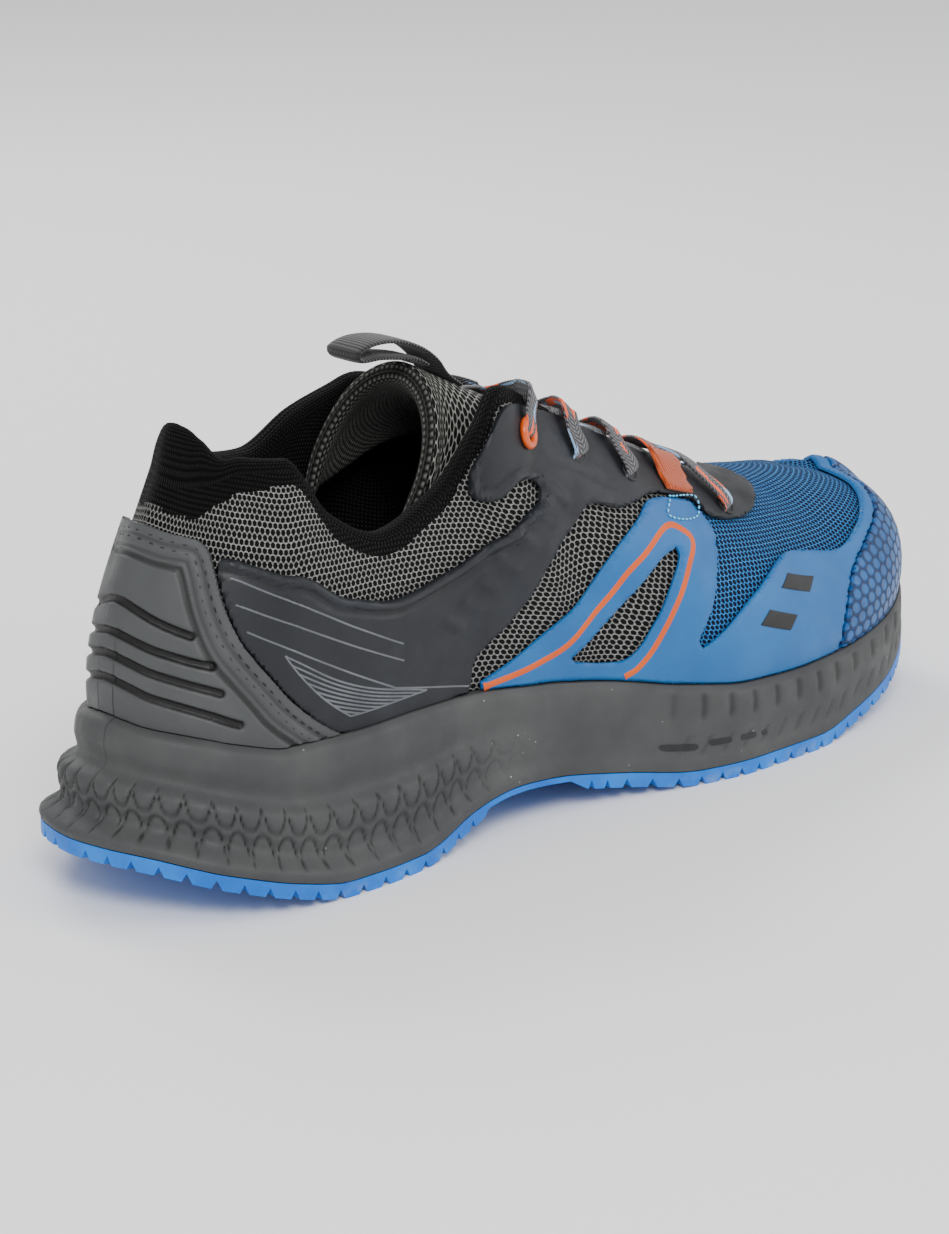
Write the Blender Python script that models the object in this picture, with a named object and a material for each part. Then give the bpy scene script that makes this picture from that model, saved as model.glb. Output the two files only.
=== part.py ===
"""Right outdoor shoe, standing on its sole: toe along +X, outer side along -Y, +Z up."""
import math
from collections import namedtuple
from functools import lru_cache

import bmesh
import bpy
from mathutils import Vector

# Driving sizes, in metres
LENGTH = 0.300  # sole, from the back of the heel to the tip of the toe
BALL_WIDTH = 0.104  # sole, across the ball of the foot
INSTEP_HEIGHT = 0.120  # upper corner of the eyestay, above the floor
SOLE_FLARE = 0.013  # how far the sole's edge stands out past its top rim at the heel
BED_HEIGHT = 0.025  # top of the midsole under the heel of the foot

WALL = 0.0022  # fabric upper with its lining
COLLAR_PAD = 0.0065  # padded collar roll
HEEL_TAB = 0.0150  # how far the tab stands over the collar at the back
OVERLAY = 0.0013  # fused overlays
TOE_CAP = 0.0016
COUNTER = 0.0020  # moulded heel counter
GAP = 0.0003  # between pieces that touch
SHEET_GAP = 0.0006  # between the upper's facets and a sheet that follows them
FACET_ROOM = 0.0002  # more of it where a small flat piece lies over facets
RIM_SET_BACK = 0.0026  # from the midsole's top rim in to the upper
RIM_LAND = 0.0062  # flat top of the midsole's rim, under the upper's edge

PLATE = 0.0016  # outsole between its lugs
LUG_DEPTH = 0.0025
LUG_PITCH = 0.0072
LUG_REACH = 0.013  # from the sole's edge in to the end of an edge lug
RIB_PITCH = 0.0074  # scallops of the midsole's heel band
RIB_DEPTH = 0.0011
INSOLE = 0.004
KEEPER = 0.0012  # orange webbing
RING_RADIUS = 0.0034  # eyelet, to the middle of its bar
RING_BAR = 0.0009
RING_STEPS = 14
LACE_WIDTH = 0.0065
LACE_THICKNESS = 0.0012
LACE_STANDOFF = 0.0045  # lace over the eyestay, clear of the rings and keepers
LACE_ARCH = 0.0050
LACE_STEPS = 4
WEBBING = 0.0015  # pull loop
WEBBING_WIDTH = 0.013
INSOLE_CLEARANCE = 0.0006

HALF_WIDTH = BALL_WIDTH / 2
LATERAL = -1
MEDIAL = 1

# Sections of the last, from the back of the heel (0) to the tip of the toe (1). Columns: station;
# the sole's edge (along, across); flare share; height of the midsole's rim; and the upper's top
# edge (along, across, height). Along is a share of LENGTH, across of HALF_WIDTH and height of
# INSTEP_HEIGHT. Across grows away from the shoe's middle, on each side.
Section = namedtuple("Section", "station edge_along edge_across flare rim_height "
                     "top_along top_across top_height")
LATERAL_SECTIONS = [
    Section(0.00, 0.000, 0.000, 1.00, 0.400, 0.105, 0.000, 0.876),
    Section(0.04, 0.008, 0.255, 1.00, 0.391, 0.112, 0.115, 0.867),
    Section(0.09, 0.038, 0.530, 0.96, 0.378, 0.126, 0.221, 0.872),
    Section(0.14, 0.083, 0.745, 0.88, 0.359, 0.148, 0.327, 0.897),
    Section(0.20, 0.147, 0.846, 0.81, 0.332, 0.182, 0.438, 0.898),
    Section(0.26, 0.220, 0.852, 0.73, 0.330, 0.220, 0.519, 0.769),
    Section(0.32, 0.293, 0.808, 0.58, 0.334, 0.267, 0.567, 0.711),
    Section(0.39, 0.367, 0.740, 0.42, 0.326, 0.327, 0.587, 0.772),
    Section(0.45, 0.440, 0.737, 0.31, 0.305, 0.373, 0.610, 0.905),
    Section(0.48, 0.477, 0.763, 0.31, 0.292, 0.403, 0.577, 0.980),
    Section(0.52, 0.513, 0.798, 0.31, 0.276, 0.460, 0.423, 0.926),
    Section(0.58, 0.590, 0.904, 0.35, 0.234, 0.527, 0.356, 0.842),
    Section(0.65, 0.667, 0.975, 0.38, 0.205, 0.607, 0.317, 0.738),
    Section(0.72, 0.743, 0.967, 0.38, 0.197, 0.667, 0.269, 0.672),
    Section(0.78, 0.810, 0.904, 0.35, 0.197, 0.713, 0.163, 0.630),
    Section(0.84, 0.881, 0.785, 0.22, 0.213, 0.747, -0.020, 0.613),
    Section(0.90, 0.940, 0.600, 0.10, 0.238, 0.810, -0.038, 0.584),
    Section(0.95, 0.981, 0.355, 0.04, 0.263, 0.853, -0.058, 0.567),
    Section(1.00, 1.000, -0.038, 0.04, 0.276, 0.880, -0.077, 0.551),
]
MEDIAL_SECTIONS = [
    Section(0.00, 0.000, 0.000, 1.00, 0.400, 0.105, 0.000, 0.876),
    Section(0.04, 0.008, 0.255, 1.00, 0.391, 0.112, 0.115, 0.867),
    Section(0.09, 0.040, 0.505, 0.96, 0.378, 0.126, 0.221, 0.872),
    Section(0.14, 0.087, 0.695, 0.88, 0.359, 0.148, 0.327, 0.890),
    Section(0.20, 0.149, 0.795, 0.81, 0.336, 0.182, 0.438, 0.868),
    Section(0.26, 0.220, 0.808, 0.69, 0.338, 0.220, 0.519, 0.822),
    Section(0.32, 0.293, 0.731, 0.50, 0.347, 0.267, 0.567, 0.805),
    Section(0.39, 0.367, 0.663, 0.35, 0.342, 0.327, 0.587, 0.868),
    Section(0.45, 0.440, 0.654, 0.31, 0.326, 0.373, 0.577, 0.905),
    Section(0.48, 0.477, 0.679, 0.31, 0.313, 0.403, 0.548, 0.930),
    Section(0.52, 0.513, 0.721, 0.31, 0.292, 0.460, 0.423, 0.900),
    Section(0.58, 0.590, 0.846, 0.35, 0.251, 0.527, 0.365, 0.842),
    Section(0.65, 0.667, 0.967, 0.38, 0.222, 0.607, 0.327, 0.742),
    Section(0.72, 0.743, 1.029, 0.38, 0.205, 0.667, 0.288, 0.676),
    Section(0.78, 0.810, 1.000, 0.35, 0.197, 0.713, 0.183, 0.632),
    Section(0.84, 0.879, 0.880, 0.22, 0.209, 0.747, 0.020, 0.613),
    Section(0.90, 0.938, 0.690, 0.10, 0.234, 0.810, 0.038, 0.584),
    Section(0.95, 0.980, 0.420, 0.04, 0.263, 0.853, 0.058, 0.567),
    Section(1.00, 1.000, 0.038, 0.04, 0.276, 0.880, 0.077, 0.551),
]
THROAT_END = 0.84  # station where the two top edges meet and the vamp closes

# How full each section is: reach of the curve's handles out and up, as shares of INSTEP_HEIGHT,
# the pad's share of COLLAR_PAD, and the roll's height over the top edge as a share of HEEL_TAB.
Fullness = namedtuple("Fullness", "station low_out low_up high_out high_down pad roll")
FULLNESS = [
    Fullness(0.00, 0.013, 0.167, 0.067, 0.150, 1.00, 1.00),
    Fullness(0.05, 0.015, 0.160, 0.060, 0.155, 1.00, 0.80),
    Fullness(0.10, 0.017, 0.155, 0.055, 0.160, 1.00, 0.34),
    Fullness(0.20, 0.016, 0.150, 0.045, 0.150, 1.00, 0.22),
    Fullness(0.32, 0.008, 0.130, 0.025, 0.120, 1.00, 0.22),
    Fullness(0.42, 0.004, 0.155, 0.018, 0.150, 0.92, 0.20),
    Fullness(0.48, 0.000, 0.183, 0.050, 0.240, 0.70, 0.12),
    Fullness(0.54, 0.010, 0.180, 0.080, 0.130, 0.36, 0.06),
    Fullness(0.65, 0.021, 0.155, 0.120, 0.065, 0.34, 0.06),
    Fullness(0.78, 0.027, 0.155, 0.185, 0.020, 0.34, 0.05),
    Fullness(0.84, 0.030, 0.165, 0.225, 0.000, 0.34, 0.00),
    Fullness(0.90, 0.040, 0.185, 0.235, 0.000, 0.34, 0.00),
    Fullness(1.00, 0.045, 0.190, 0.225, 0.000, 0.34, 0.00),
]

# Underside of the lugs above the floor and top of the footbed, by share of LENGTH. Lift is a share
# of INSTEP_HEIGHT, bed a share of BED_HEIGHT.
SoleLine = namedtuple("SoleLine", "station lift bed")
SOLE_LINE = [
    SoleLine(0.00, 0.117, 1.00),
    SoleLine(0.07, 0.072, 1.00),
    SoleLine(0.13, 0.030, 1.00),
    SoleLine(0.19, 0.000, 1.00),
    SoleLine(0.27, 0.000, 1.00),
    SoleLine(0.34, 0.042, 0.98),
    SoleLine(0.40, 0.066, 0.95),
    SoleLine(0.45, 0.058, 0.90),
    SoleLine(0.52, 0.032, 0.82),
    SoleLine(0.61, 0.000, 0.74),
    SoleLine(0.76, 0.000, 0.70),
    SoleLine(0.82, 0.022, 0.74),
    SoleLine(0.88, 0.048, 0.80),
    SoleLine(0.94, 0.092, 0.92),
    SoleLine(1.00, 0.150, 1.10),
]

# Sidewall of the midsole from its rim down: how far out towards the sole's edge and how high, as
# shares, at the heel and at the forefoot. Rib is the share of RIB_DEPTH that a scallop cuts there.
Wall = namedtuple("Wall", "heel_out heel_up fore_out fore_up rib")
SIDEWALL = [
    Wall(0.00, 1.00, 0.00, 1.00, 0.0),
    Wall(0.21, 0.94, 0.36, 0.92, 0.0),
    Wall(0.28, 0.79, 0.58, 0.78, 0.0),
    Wall(0.25, 0.61, 0.69, 0.62, 0.0),
    Wall(0.60, 0.50, 0.73, 0.47, 0.5),
    Wall(0.66, 0.35, 0.76, 0.36, 1.0),
    Wall(0.63, 0.20, 0.82, 0.22, 1.0),
    Wall(1.00, 0.08, 0.97, 0.08, 0.0),
    Wall(1.00, 0.00, 1.00, 0.00, 0.0),
]
BAND_FADES = (0.34, 0.50)  # stations where the heel's ribbed band runs out


def smooth_step(low, high, value):
    """Share from 0 at low to 1 at high, with soft ends."""
    share = min(max((value - low) / (high - low), 0.0), 1.0)
    return share * share * (3 - 2 * share)


def follow(rows, column, station):
    """Value of a table's column at a station, on a smooth curve that never overshoots its rows."""
    keys = [row.station for row in rows]
    values = [getattr(row, column) for row in rows]
    last = len(rows) - 1
    station = min(max(station, keys[0]), keys[last])
    i = max(k for k in range(last) if keys[k] <= station)

    def secant(k):
        return (values[k + 1] - values[k]) / (keys[k + 1] - keys[k])

    def slope(k):
        if k in (0, last):
            return secant(min(k, last - 1)) if column.endswith("across") else 0.0
        before, after = secant(k - 1), secant(k)
        return 2 * before * after / (before + after) if before * after > 0 else 0.0

    span = keys[i + 1] - keys[i]
    t = (station - keys[i]) / span
    rise = values[i + 1] - values[i]
    a = slope(i) * span - rise
    b = rise - slope(i + 1) * span
    return values[i] + t * rise + t * (1 - t) * ((1 - t) * a + t * b)


def sections(side):
    return LATERAL_SECTIONS if side == LATERAL else MEDIAL_SECTIONS


@lru_cache(maxsize=None)
def sole_edge(side, station):
    """Point of the sole's edge in plan."""
    rows = sections(side)
    along = follow(rows, "edge_along", station) * LENGTH
    across = follow(rows, "edge_across", station) * HALF_WIDTH
    return Vector((along, side * across, 0))


@lru_cache(maxsize=None)
def outward(side, station):
    """Level direction that points straight out of the sole's edge."""
    step = 0.01
    if station < step:
        run = sole_edge(side, step) - sole_edge(-side, step)
    elif station > 1 - step:
        run = sole_edge(-side, 1 - step) - sole_edge(side, 1 - step)
    else:
        run = sole_edge(side, station + step) - sole_edge(side, station - step)
    return Vector((-side * run.y, side * run.x, 0)).normalized()


def lift(along):
    """Height of the lugs' undersides above the floor."""
    return follow(SOLE_LINE, "lift", along / LENGTH) * INSTEP_HEIGHT


def sole_parting(along):
    """Height at which the midsole ends and the outsole begins."""
    return lift(along) + LUG_DEPTH + PLATE + GAP


def bed_height(along):
    return follow(SOLE_LINE, "bed", along / LENGTH) * BED_HEIGHT


def rim_height(side, station):
    return follow(sections(side), "rim_height", station) * INSTEP_HEIGHT


def inset_point(side, station, inset, height):
    """Point set in from the sole's edge by a level distance."""
    point = sole_edge(side, station) - outward(side, station) * inset
    return Vector((point.x, point.y, height))


def rim_inset(side, station):
    return follow(sections(side), "flare", station) * SOLE_FLARE


@lru_cache(maxsize=None)
def top_edge(side, station):
    """Top edge of the upper: the collar, then the throat, then the crest of the vamp."""
    def one_side(which):
        rows = sections(which)
        return Vector((follow(rows, "top_along", station) * LENGTH,
                       which * follow(rows, "top_across", station) * HALF_WIDTH,
                       follow(rows, "top_height", station) * INSTEP_HEIGHT))
    if station >= THROAT_END:
        return (one_side(LATERAL) + one_side(MEDIAL)) / 2
    return one_side(side)


@lru_cache(maxsize=None)
def rib(side, station):
    """Four control points of the upper's section curve, from the sole up to its top edge."""
    foot = inset_point(side, station, rim_inset(side, station) + RIM_SET_BACK,
                       rim_height(side, station) + GAP)
    top = top_edge(side, station)
    out = outward(side, station)
    reach = Vector((foot.x - top.x, foot.y - top.y, 0)).normalized()
    crown = smooth_step(0.50, 0.78, station)
    reach = out.lerp(reach, crown).normalized()
    step = 0.01
    ahead, behind = top_edge(side, min(station + step, 1)), top_edge(side, station - step)
    crest_slope = (ahead.z - behind.z) / max(ahead.x - behind.x, step * LENGTH)
    low_out, low_up, high_out, high_down = (
        follow(FULLNESS, name, station) * INSTEP_HEIGHT
        for name in ("low_out", "low_up", "high_out", "high_down"))
    settle = crown * high_out * reach.x * crest_slope
    return (foot, foot + out * low_out + Vector((0, 0, low_up)),
            top + reach * high_out + Vector((0, 0, settle - high_down)), top)


def skin(around, up):
    """Point of the upper's outer surface. Around runs 0 to 1 on the outer side, heel to toe, and
    goes on to 2 back along the inner side; below 0 it is the inner side too. Up runs from 0 at
    the sole to 1 at the top edge, and past 1 it goes down the other side."""
    side = LATERAL if 0 <= around <= 1 else MEDIAL
    station = 2 - around if around > 1 else abs(around)
    if up > 1:
        side, up = -side, 2 - up
    a, b, c, d = rib(side, station)
    rest = 1 - up
    return a * rest ** 3 + b * 3 * rest ** 2 * up + c * 3 * rest * up ** 2 + d * up ** 3


def facing(around, up):
    """Outward direction of the upper's surface."""
    station = 2 - around if around > 1 else abs(around)
    over = station >= THROAT_END
    du, dv = 0.004, 0.012
    towards_throat = min(du, station - THROAT_END) if over else du
    back, ahead = (towards_throat, du) if 0 <= around <= 1 else (du, towards_throat)
    low, high = max(up - dv, 0), up + dv if over else min(up + dv, 1)
    across = skin(around + ahead, up) - skin(around - back, up)
    upward = skin(around, high) - skin(around, low)
    return across.cross(upward).normalized()


def over_skin(around, up, proud):
    """Point that stands off the upper's surface."""
    return skin(around, up) + facing(around, up) * proud


# The model's own frame has the middle of the sole's box at its origin
EDGE_SAMPLES = [sole_edge(side, k / 100) for side in (LATERAL, MEDIAL) for k in range(101)]
MIDDLE = Vector(((min(p.x for p in EDGE_SAMPLES) + max(p.x for p in EDGE_SAMPLES)) / 2,
                 (min(p.y for p in EDGE_SAMPLES) + max(p.y for p in EDGE_SAMPLES)) / 2, 0))


def material(name, colour, roughness):
    made = bpy.data.materials.new(name)
    made.use_nodes = True
    shader = made.node_tree.nodes["Principled BSDF"]
    shader.inputs["Base Color"].default_value = (*colour, 1)
    shader.inputs["Roughness"].default_value = roughness
    return made


def finish(bm, name, colour, roughness):
    """Merge what meets, face it outwards and hang it in the shoe's collection."""
    bmesh.ops.remove_doubles(bm, verts=bm.verts, dist=2e-6)
    bmesh.ops.dissolve_degenerate(bm, edges=bm.edges, dist=2e-6)
    bmesh.ops.recalc_face_normals(bm, faces=bm.faces)
    bmesh.ops.translate(bm, verts=bm.verts, vec=-MIDDLE)
    mesh = bpy.data.meshes.new(name)
    bm.to_mesh(mesh)
    bm.free()
    mesh.materials.append(material(name, colour, roughness))
    mesh.shade_smooth()
    mesh.set_sharp_from_angle(angle=math.radians(40))
    piece = bpy.data.objects.new(name, mesh)
    shoe.objects.link(piece)
    return piece


def loft(bm, rings, closed=True):
    """Skin a run of rings that have as many points each."""
    rows = [[bm.verts.new(point) for point in ring] for ring in rings]
    count = len(rows[0])
    for near, far in zip(rows, rows[1:]):
        for k in range(count if closed else count - 1):
            n = (k + 1) % count
            bm.faces.new((near[k], near[n], far[n], far[k]))


def between(start, end, shares):
    return [start.lerp(end, share) for share in shares]


def band_share(station):
    """How much of the heel's ribbed band is left at a station."""
    return 1 - smooth_step(*BAND_FADES, station)


def wall_point(side, station, row, rib_cut):
    """Point of the midsole's sidewall."""
    heel = band_share(station)
    out = row.fore_out + (row.heel_out - row.fore_out) * heel
    up = row.fore_up + (row.heel_up - row.fore_up) * heel
    low = sole_parting(sole_edge(side, station).x)
    top = rim_height(side, station)
    inset = rim_inset(side, station) * (1 - out) + rib_cut * row.rib * heel * RIB_DEPTH
    return inset_point(side, station, inset, low + (top - low) * up)


def make_midsole():
    """Foam cup: ribbed sidewalls, a flat rim for the upper and a footbed."""
    edge_length = sum((sole_edge(LATERAL, (k + 1) / 100) - sole_edge(LATERAL, k / 100)).length
                      for k in range(100))
    half_rib = RIB_PITCH / 2 / edge_length
    ribbed = int(BAND_FADES[1] / half_rib)
    stations = [(k * half_rib, k % 2) for k in range(ribbed)]
    plain = 16
    first = ribbed * half_rib
    stations += [(first + (1 - first) * k / plain, 0) for k in range(plain + 1)]
    rings = []
    for station, cut in stations:
        halves = []
        for side in (LATERAL, MEDIAL):
            wall = [wall_point(side, station, row, cut) for row in reversed(SIDEWALL)]
            inset = rim_inset(side, station) + RIM_LAND
            land = inset_point(side, station, inset, rim_height(side, station))
            bed = inset_point(side, station, inset + WALL, 0)
            bed.z = bed_height(bed.x)
            halves.append(wall + [land, bed])
        ring = halves[0]
        for point in between(halves[0][-1], halves[1][-1], (1 / 2,)):
            ring.append(Vector((point.x, point.y, bed_height(point.x))))
        ring += reversed(halves[1])
        for point in between(halves[1][0], halves[0][0], (1 / 2,)):
            ring.append(Vector((point.x, point.y, sole_parting(point.x))))
        rings.append(ring)
    bm = bmesh.new()
    loft(bm, rings)
    return finish(bm, "midsole", (0.100, 0.102, 0.105), 0.75)


def make_outsole():
    """Rubber plate with lugs along its edge and bars across its middle."""
    edge_length = sum((sole_edge(LATERAL, (k + 1) / 100) - sole_edge(LATERAL, k / 100)).length
                      for k in range(100))
    lugs = round(edge_length / LUG_PITCH)
    stations = []
    for k in range(lugs):
        stations += [((k + 0.08) / lugs, 1), ((k + 0.70) / lugs, 1), ((k + 0.89) / lugs, 0)]
    stations = [(0, 1)] + stations[1:-1] + [(1, 1)]
    rings = []
    for station, lug in stations:
        halves = []
        for side in (LATERAL, MEDIAL):
            edge = sole_edge(side, station)
            tread = lug * (1 - smooth_step(0.048, 0.056, lift(edge.x) / INSTEP_HEIGHT)
                           * smooth_step(0.2, 0.3, station) * (1 - smooth_step(0.5, 0.6, station)))
            half = []
            for inset, face in ((0, "top"), (0, "lug"), (LUG_REACH, "lug"), (LUG_REACH + 0.001, "plate")):
                point = inset_point(side, station, min(inset, HALF_WIDTH * 0.7), 0)
                if abs(point.y) < 0.002 or point.y * side < 0:
                    point.y = 0
                point.z = sole_parting(point.x) - GAP
                if face != "top":
                    point.z -= PLATE + (LUG_DEPTH * tread if face == "lug" else 0)
                half.append(point)
            halves.append(half)
        centre = between(halves[0][-1], halves[1][-1], (0.18, 0.82))
        for point in centre:
            down = LUG_DEPTH * lug * (lift(point.x) < 0.03 * INSTEP_HEIGHT)
            point.z = sole_parting(point.x) - GAP - PLATE - down
        rings.append(halves[0] + centre + halves[1][::-1])
    bm = bmesh.new()
    loft(bm, rings)
    return finish(bm, "outsole", (0.030, 0.310, 0.870), 0.55)


def make_insole():
    """Footbed sheet that lies in the midsole's cup."""
    rings = []
    count = 18
    for k in range(count + 1):
        station = k / count
        halves = []
        for side in (LATERAL, MEDIAL):
            inset = rim_inset(side, station) + RIM_LAND + WALL + INSOLE_CLEARANCE
            low = inset_point(side, station, inset, 0)
            low.z = bed_height(low.x) + GAP
            halves.append([low, low + Vector((0, 0, INSOLE))])
        top = between(halves[0][1], halves[1][1], (1 / 3, 2 / 3))
        low = between(halves[1][0], halves[0][0], (1 / 3, 2 / 3))
        for point in top:
            point.z = bed_height(point.x) + GAP + INSOLE
        for point in low:
            point.z = bed_height(point.x) + GAP
        rings.append(halves[0] + top + halves[1][::-1] + low)
    bm = bmesh.new()
    loft(bm, rings)
    return finish(bm, "insole", (0.020, 0.020, 0.022), 0.9)


UPPER_STATIONS = [0, 0.04, 0.08, 0.12, 0.16, 0.20, 0.24, 0.28, 0.33, 0.38, 0.43, 0.46, 0.48, 0.51,
                  0.56, 0.62, 0.68, 0.74, 0.79, 0.84, 0.88, 0.92, 0.96, 1]
UPPER_STEPS = 7
ROLL_ANGLES = (45, 90, 135)


def wall_thickness(station, up):
    pad = follow(FULLNESS, "pad", station) * COLLAR_PAD
    return WALL + (pad - WALL) * smooth_step(0.45, 1, up)


def upper_ring(side, station):
    """Closed ring through the upper's wall at a station: outside, roll at the top, inside."""
    around = station if side == LATERAL else -station if station < 0.5 else 2 - station
    shares = [k / UPPER_STEPS for k in range(UPPER_STEPS + 1)]
    outer = [skin(around, up) for up in shares]
    inner = [over_skin(around, up, -wall_thickness(station, up)) for up in shares]
    if station >= THROAT_END:
        inner[-1] = over_skin(station, 1, -wall_thickness(station, 1))
    rise = (outer[-1] - skin(around, 0.96)).normalized()
    rise *= follow(FULLNESS, "roll", station) * HEEL_TAB
    middle = (outer[-1] + inner[-1]) / 2
    roll = []
    for angle in ROLL_ANGLES:
        turn = math.radians(angle)
        roll.append(middle + (outer[-1] - middle) * math.cos(turn) + rise * math.sin(turn))
    return outer, roll, inner


def make_upper():
    """Hollow fabric shell, open at the collar, at the throat and underneath."""
    bm = bmesh.new()
    for side in (LATERAL, MEDIAL):
        rings = {station: upper_ring(side, station) for station in UPPER_STATIONS}
        for first, last, has_edge in ((0, THROAT_END, True), (THROAT_END, 1, False)):
            run = [rings[s] for s in UPPER_STATIONS if first <= s <= last]
            if has_edge:
                loft(bm, [outer + roll + inner[::-1] for outer, roll, inner in run])
            else:
                loft(bm, [outer for outer, _, _ in run], closed=False)
                loft(bm, [inner[::-1] for _, _, inner in run], closed=False)
                loft(bm, [[inner[0], outer[0]] for outer, _, inner in run], closed=False)
    return finish(bm, "upper", (0.060, 0.060, 0.058), 0.9)


# Sections of the tongue from its sewn front end to its top: crown (along, height), half width,
# how far the sides drop under the crown, and thickness. Along is a share of LENGTH, width of
# HALF_WIDTH, and height, drop and thickness of INSTEP_HEIGHT.
TongueSection = namedtuple("TongueSection", "along height width drop thickness")
TONGUE_SECTIONS = [
    TongueSection(0.765, 0.564, 0.20, 0.034, 0.024),
    TongueSection(0.700, 0.597, 0.28, 0.044, 0.030),
    TongueSection(0.620, 0.696, 0.36, 0.050, 0.036),
    TongueSection(0.530, 0.804, 0.40, 0.075, 0.046),
    TongueSection(0.465, 0.889, 0.43, 0.120, 0.058),
    TongueSection(0.420, 0.959, 0.45, 0.190, 0.064),
    TongueSection(0.390, 1.004, 0.46, 0.240, 0.062),
    TongueSection(0.378, 1.019, 0.45, 0.250, 0.050),
]
TONGUE_ANGLES = (-90, -68, -45, -22, 0, 22, 45, 68, 90)
TONGUE_SEAM = 0.86  # station where the tongue is sewn under the vamp


def make_tongue():
    """Padded tongue, arched into a hood at its top."""
    crowns = [Vector((row.along * LENGTH, 0, row.height * INSTEP_HEIGHT)) for row in TONGUE_SECTIONS]
    seam = over_skin(TONGUE_SEAM, 1, -wall_thickness(TONGUE_SEAM, 1) - SHEET_GAP)
    crowns[0] = Vector((seam.x, 0, seam.z))
    rings = []
    for k, row in enumerate(TONGUE_SECTIONS):
        run = crowns[min(k + 1, len(crowns) - 1)] - crowns[max(k - 1, 0)]
        up = Vector((-run.z, 0, run.x)).normalized()
        up *= -1 if up.z < 0 else 1
        width, drop, thick = (row.width * HALF_WIDTH, row.drop * INSTEP_HEIGHT,
                              row.thickness * INSTEP_HEIGHT)
        outer, inner = [], []
        for angle in TONGUE_ANGLES:
            turn = math.radians(angle)
            fall = drop * (1 - math.cos(turn))
            outer.append(crowns[k] + Vector((0, width * math.sin(turn), 0)) - up * fall)
            inner.append(crowns[k] + Vector((0, (width - thick) * math.sin(turn), 0))
                         - up * (fall + thick * math.cos(turn)))
        rings.append(outer + inner[::-1])
    bm = bmesh.new()
    loft(bm, rings)
    bm.verts.ensure_lookup_table()
    count = len(rings[0])
    half = len(TONGUE_ANGLES)
    for start in (0, len(bm.verts) - count):
        for k in range(half - 1):
            bm.faces.new([bm.verts[start + j] for j in (k, k + 1, count - 2 - k, count - 1 - k)])
    return finish(bm, "tongue", (0.080, 0.080, 0.078), 0.9)


# Outlines of the overlays on the outer side, in shares of the surface: station, and up. The inner
# side's are their mirror images.
COUNTER_FRONT = [(0.248, 0.012), (0.214, 0.143), (0.191, 0.230), (0.159, 0.340), (0.138, 0.430),
                 (0.123, 0.530), (0.110, 0.667), (0.100, 0.745), (0.085, 0.785), (0.043, 0.807)]
COUNTER_SEAM = 0.005  # share between the counter's front edge and the quarter's
QUARTER_TOP = [(0.118, 0.700), (0.161, 0.651), (0.199, 0.616), (0.238, 0.628), (0.277, 0.658),
               (0.328, 0.672), (0.380, 0.662), (0.438, 0.631), (0.467, 0.626), (0.492, 0.660),
               (0.498, 0.700), (0.490, 0.730), (0.459, 0.749), (0.440, 0.785), (0.426, 0.870),
               (0.430, 0.950)]
EYESTAY_EDGE = [(0.470, 0.965), (0.820, 0.965), (0.832, 0.870), (0.822, 0.779), (0.791, 0.733),
                (0.732, 0.668), (0.700, 0.655), (0.682, 0.668), (0.676, 0.740), (0.638, 0.740),
                (0.616, 0.712)]
WINDOW_REAR = [(0.599, 0.668), (0.577, 0.630), (0.547, 0.626), (0.523, 0.560), (0.495, 0.501),
               (0.446, 0.345), (0.394, 0.185), (0.386, 0.050), (0.384, 0.012)]
WINDOW_FRONT = [(0.664, 0.722), (0.640, 0.722), (0.618, 0.696), (0.609, 0.670), (0.593, 0.606),
                (0.562, 0.506), (0.512, 0.336), (0.462, 0.218), (0.426, 0.123), (0.396, 0.043)]
VAMP_EDGE = [(0.945, 0.625), (0.917, 0.514), (0.870, 0.422), (0.829, 0.391),
             (0.782, 0.469), (0.751, 0.489), (0.691, 0.366), (0.655, 0.282), (0.604, 0.152),
             (0.602, 0.183), (0.632, 0.340), (0.669, 0.567), (0.674, 0.640)]
TOE_EDGE = [(0.782, 0.012), (0.793, 0.141), (0.818, 0.273), (0.860, 0.349), (0.920, 0.444),
            (0.945, 0.545)]
TOE_SEAM = 0.004  # share between the vamp overlay's front edge and the toe cap's
WINDOW_LOW = [(0.617, 0.522), (0.616, 0.490), (0.595, 0.385), (0.565, 0.237), (0.537, 0.091),
              (0.513, 0.071), (0.481, 0.078), (0.478, 0.095), (0.519, 0.211), (0.547, 0.310),
              (0.593, 0.462)]
KEEPER_OUTLINE = [(0.642, 0.752), (0.674, 0.752), (0.690, 0.945), (0.650, 0.945)]
LACE_HOLES = [(0.495, 0.873), (0.557, 0.830), (0.610, 0.820), (0.665, 0.850), (0.717, 0.810)]
LACE_ENDS = [(0.505, 0.975), (0.557, 0.920), (0.610, 0.910), (0.665, 0.930), (0.717, 0.890)]
UP_CUTS = [k / UPPER_STEPS for k in range(1, UPPER_STEPS)]


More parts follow.
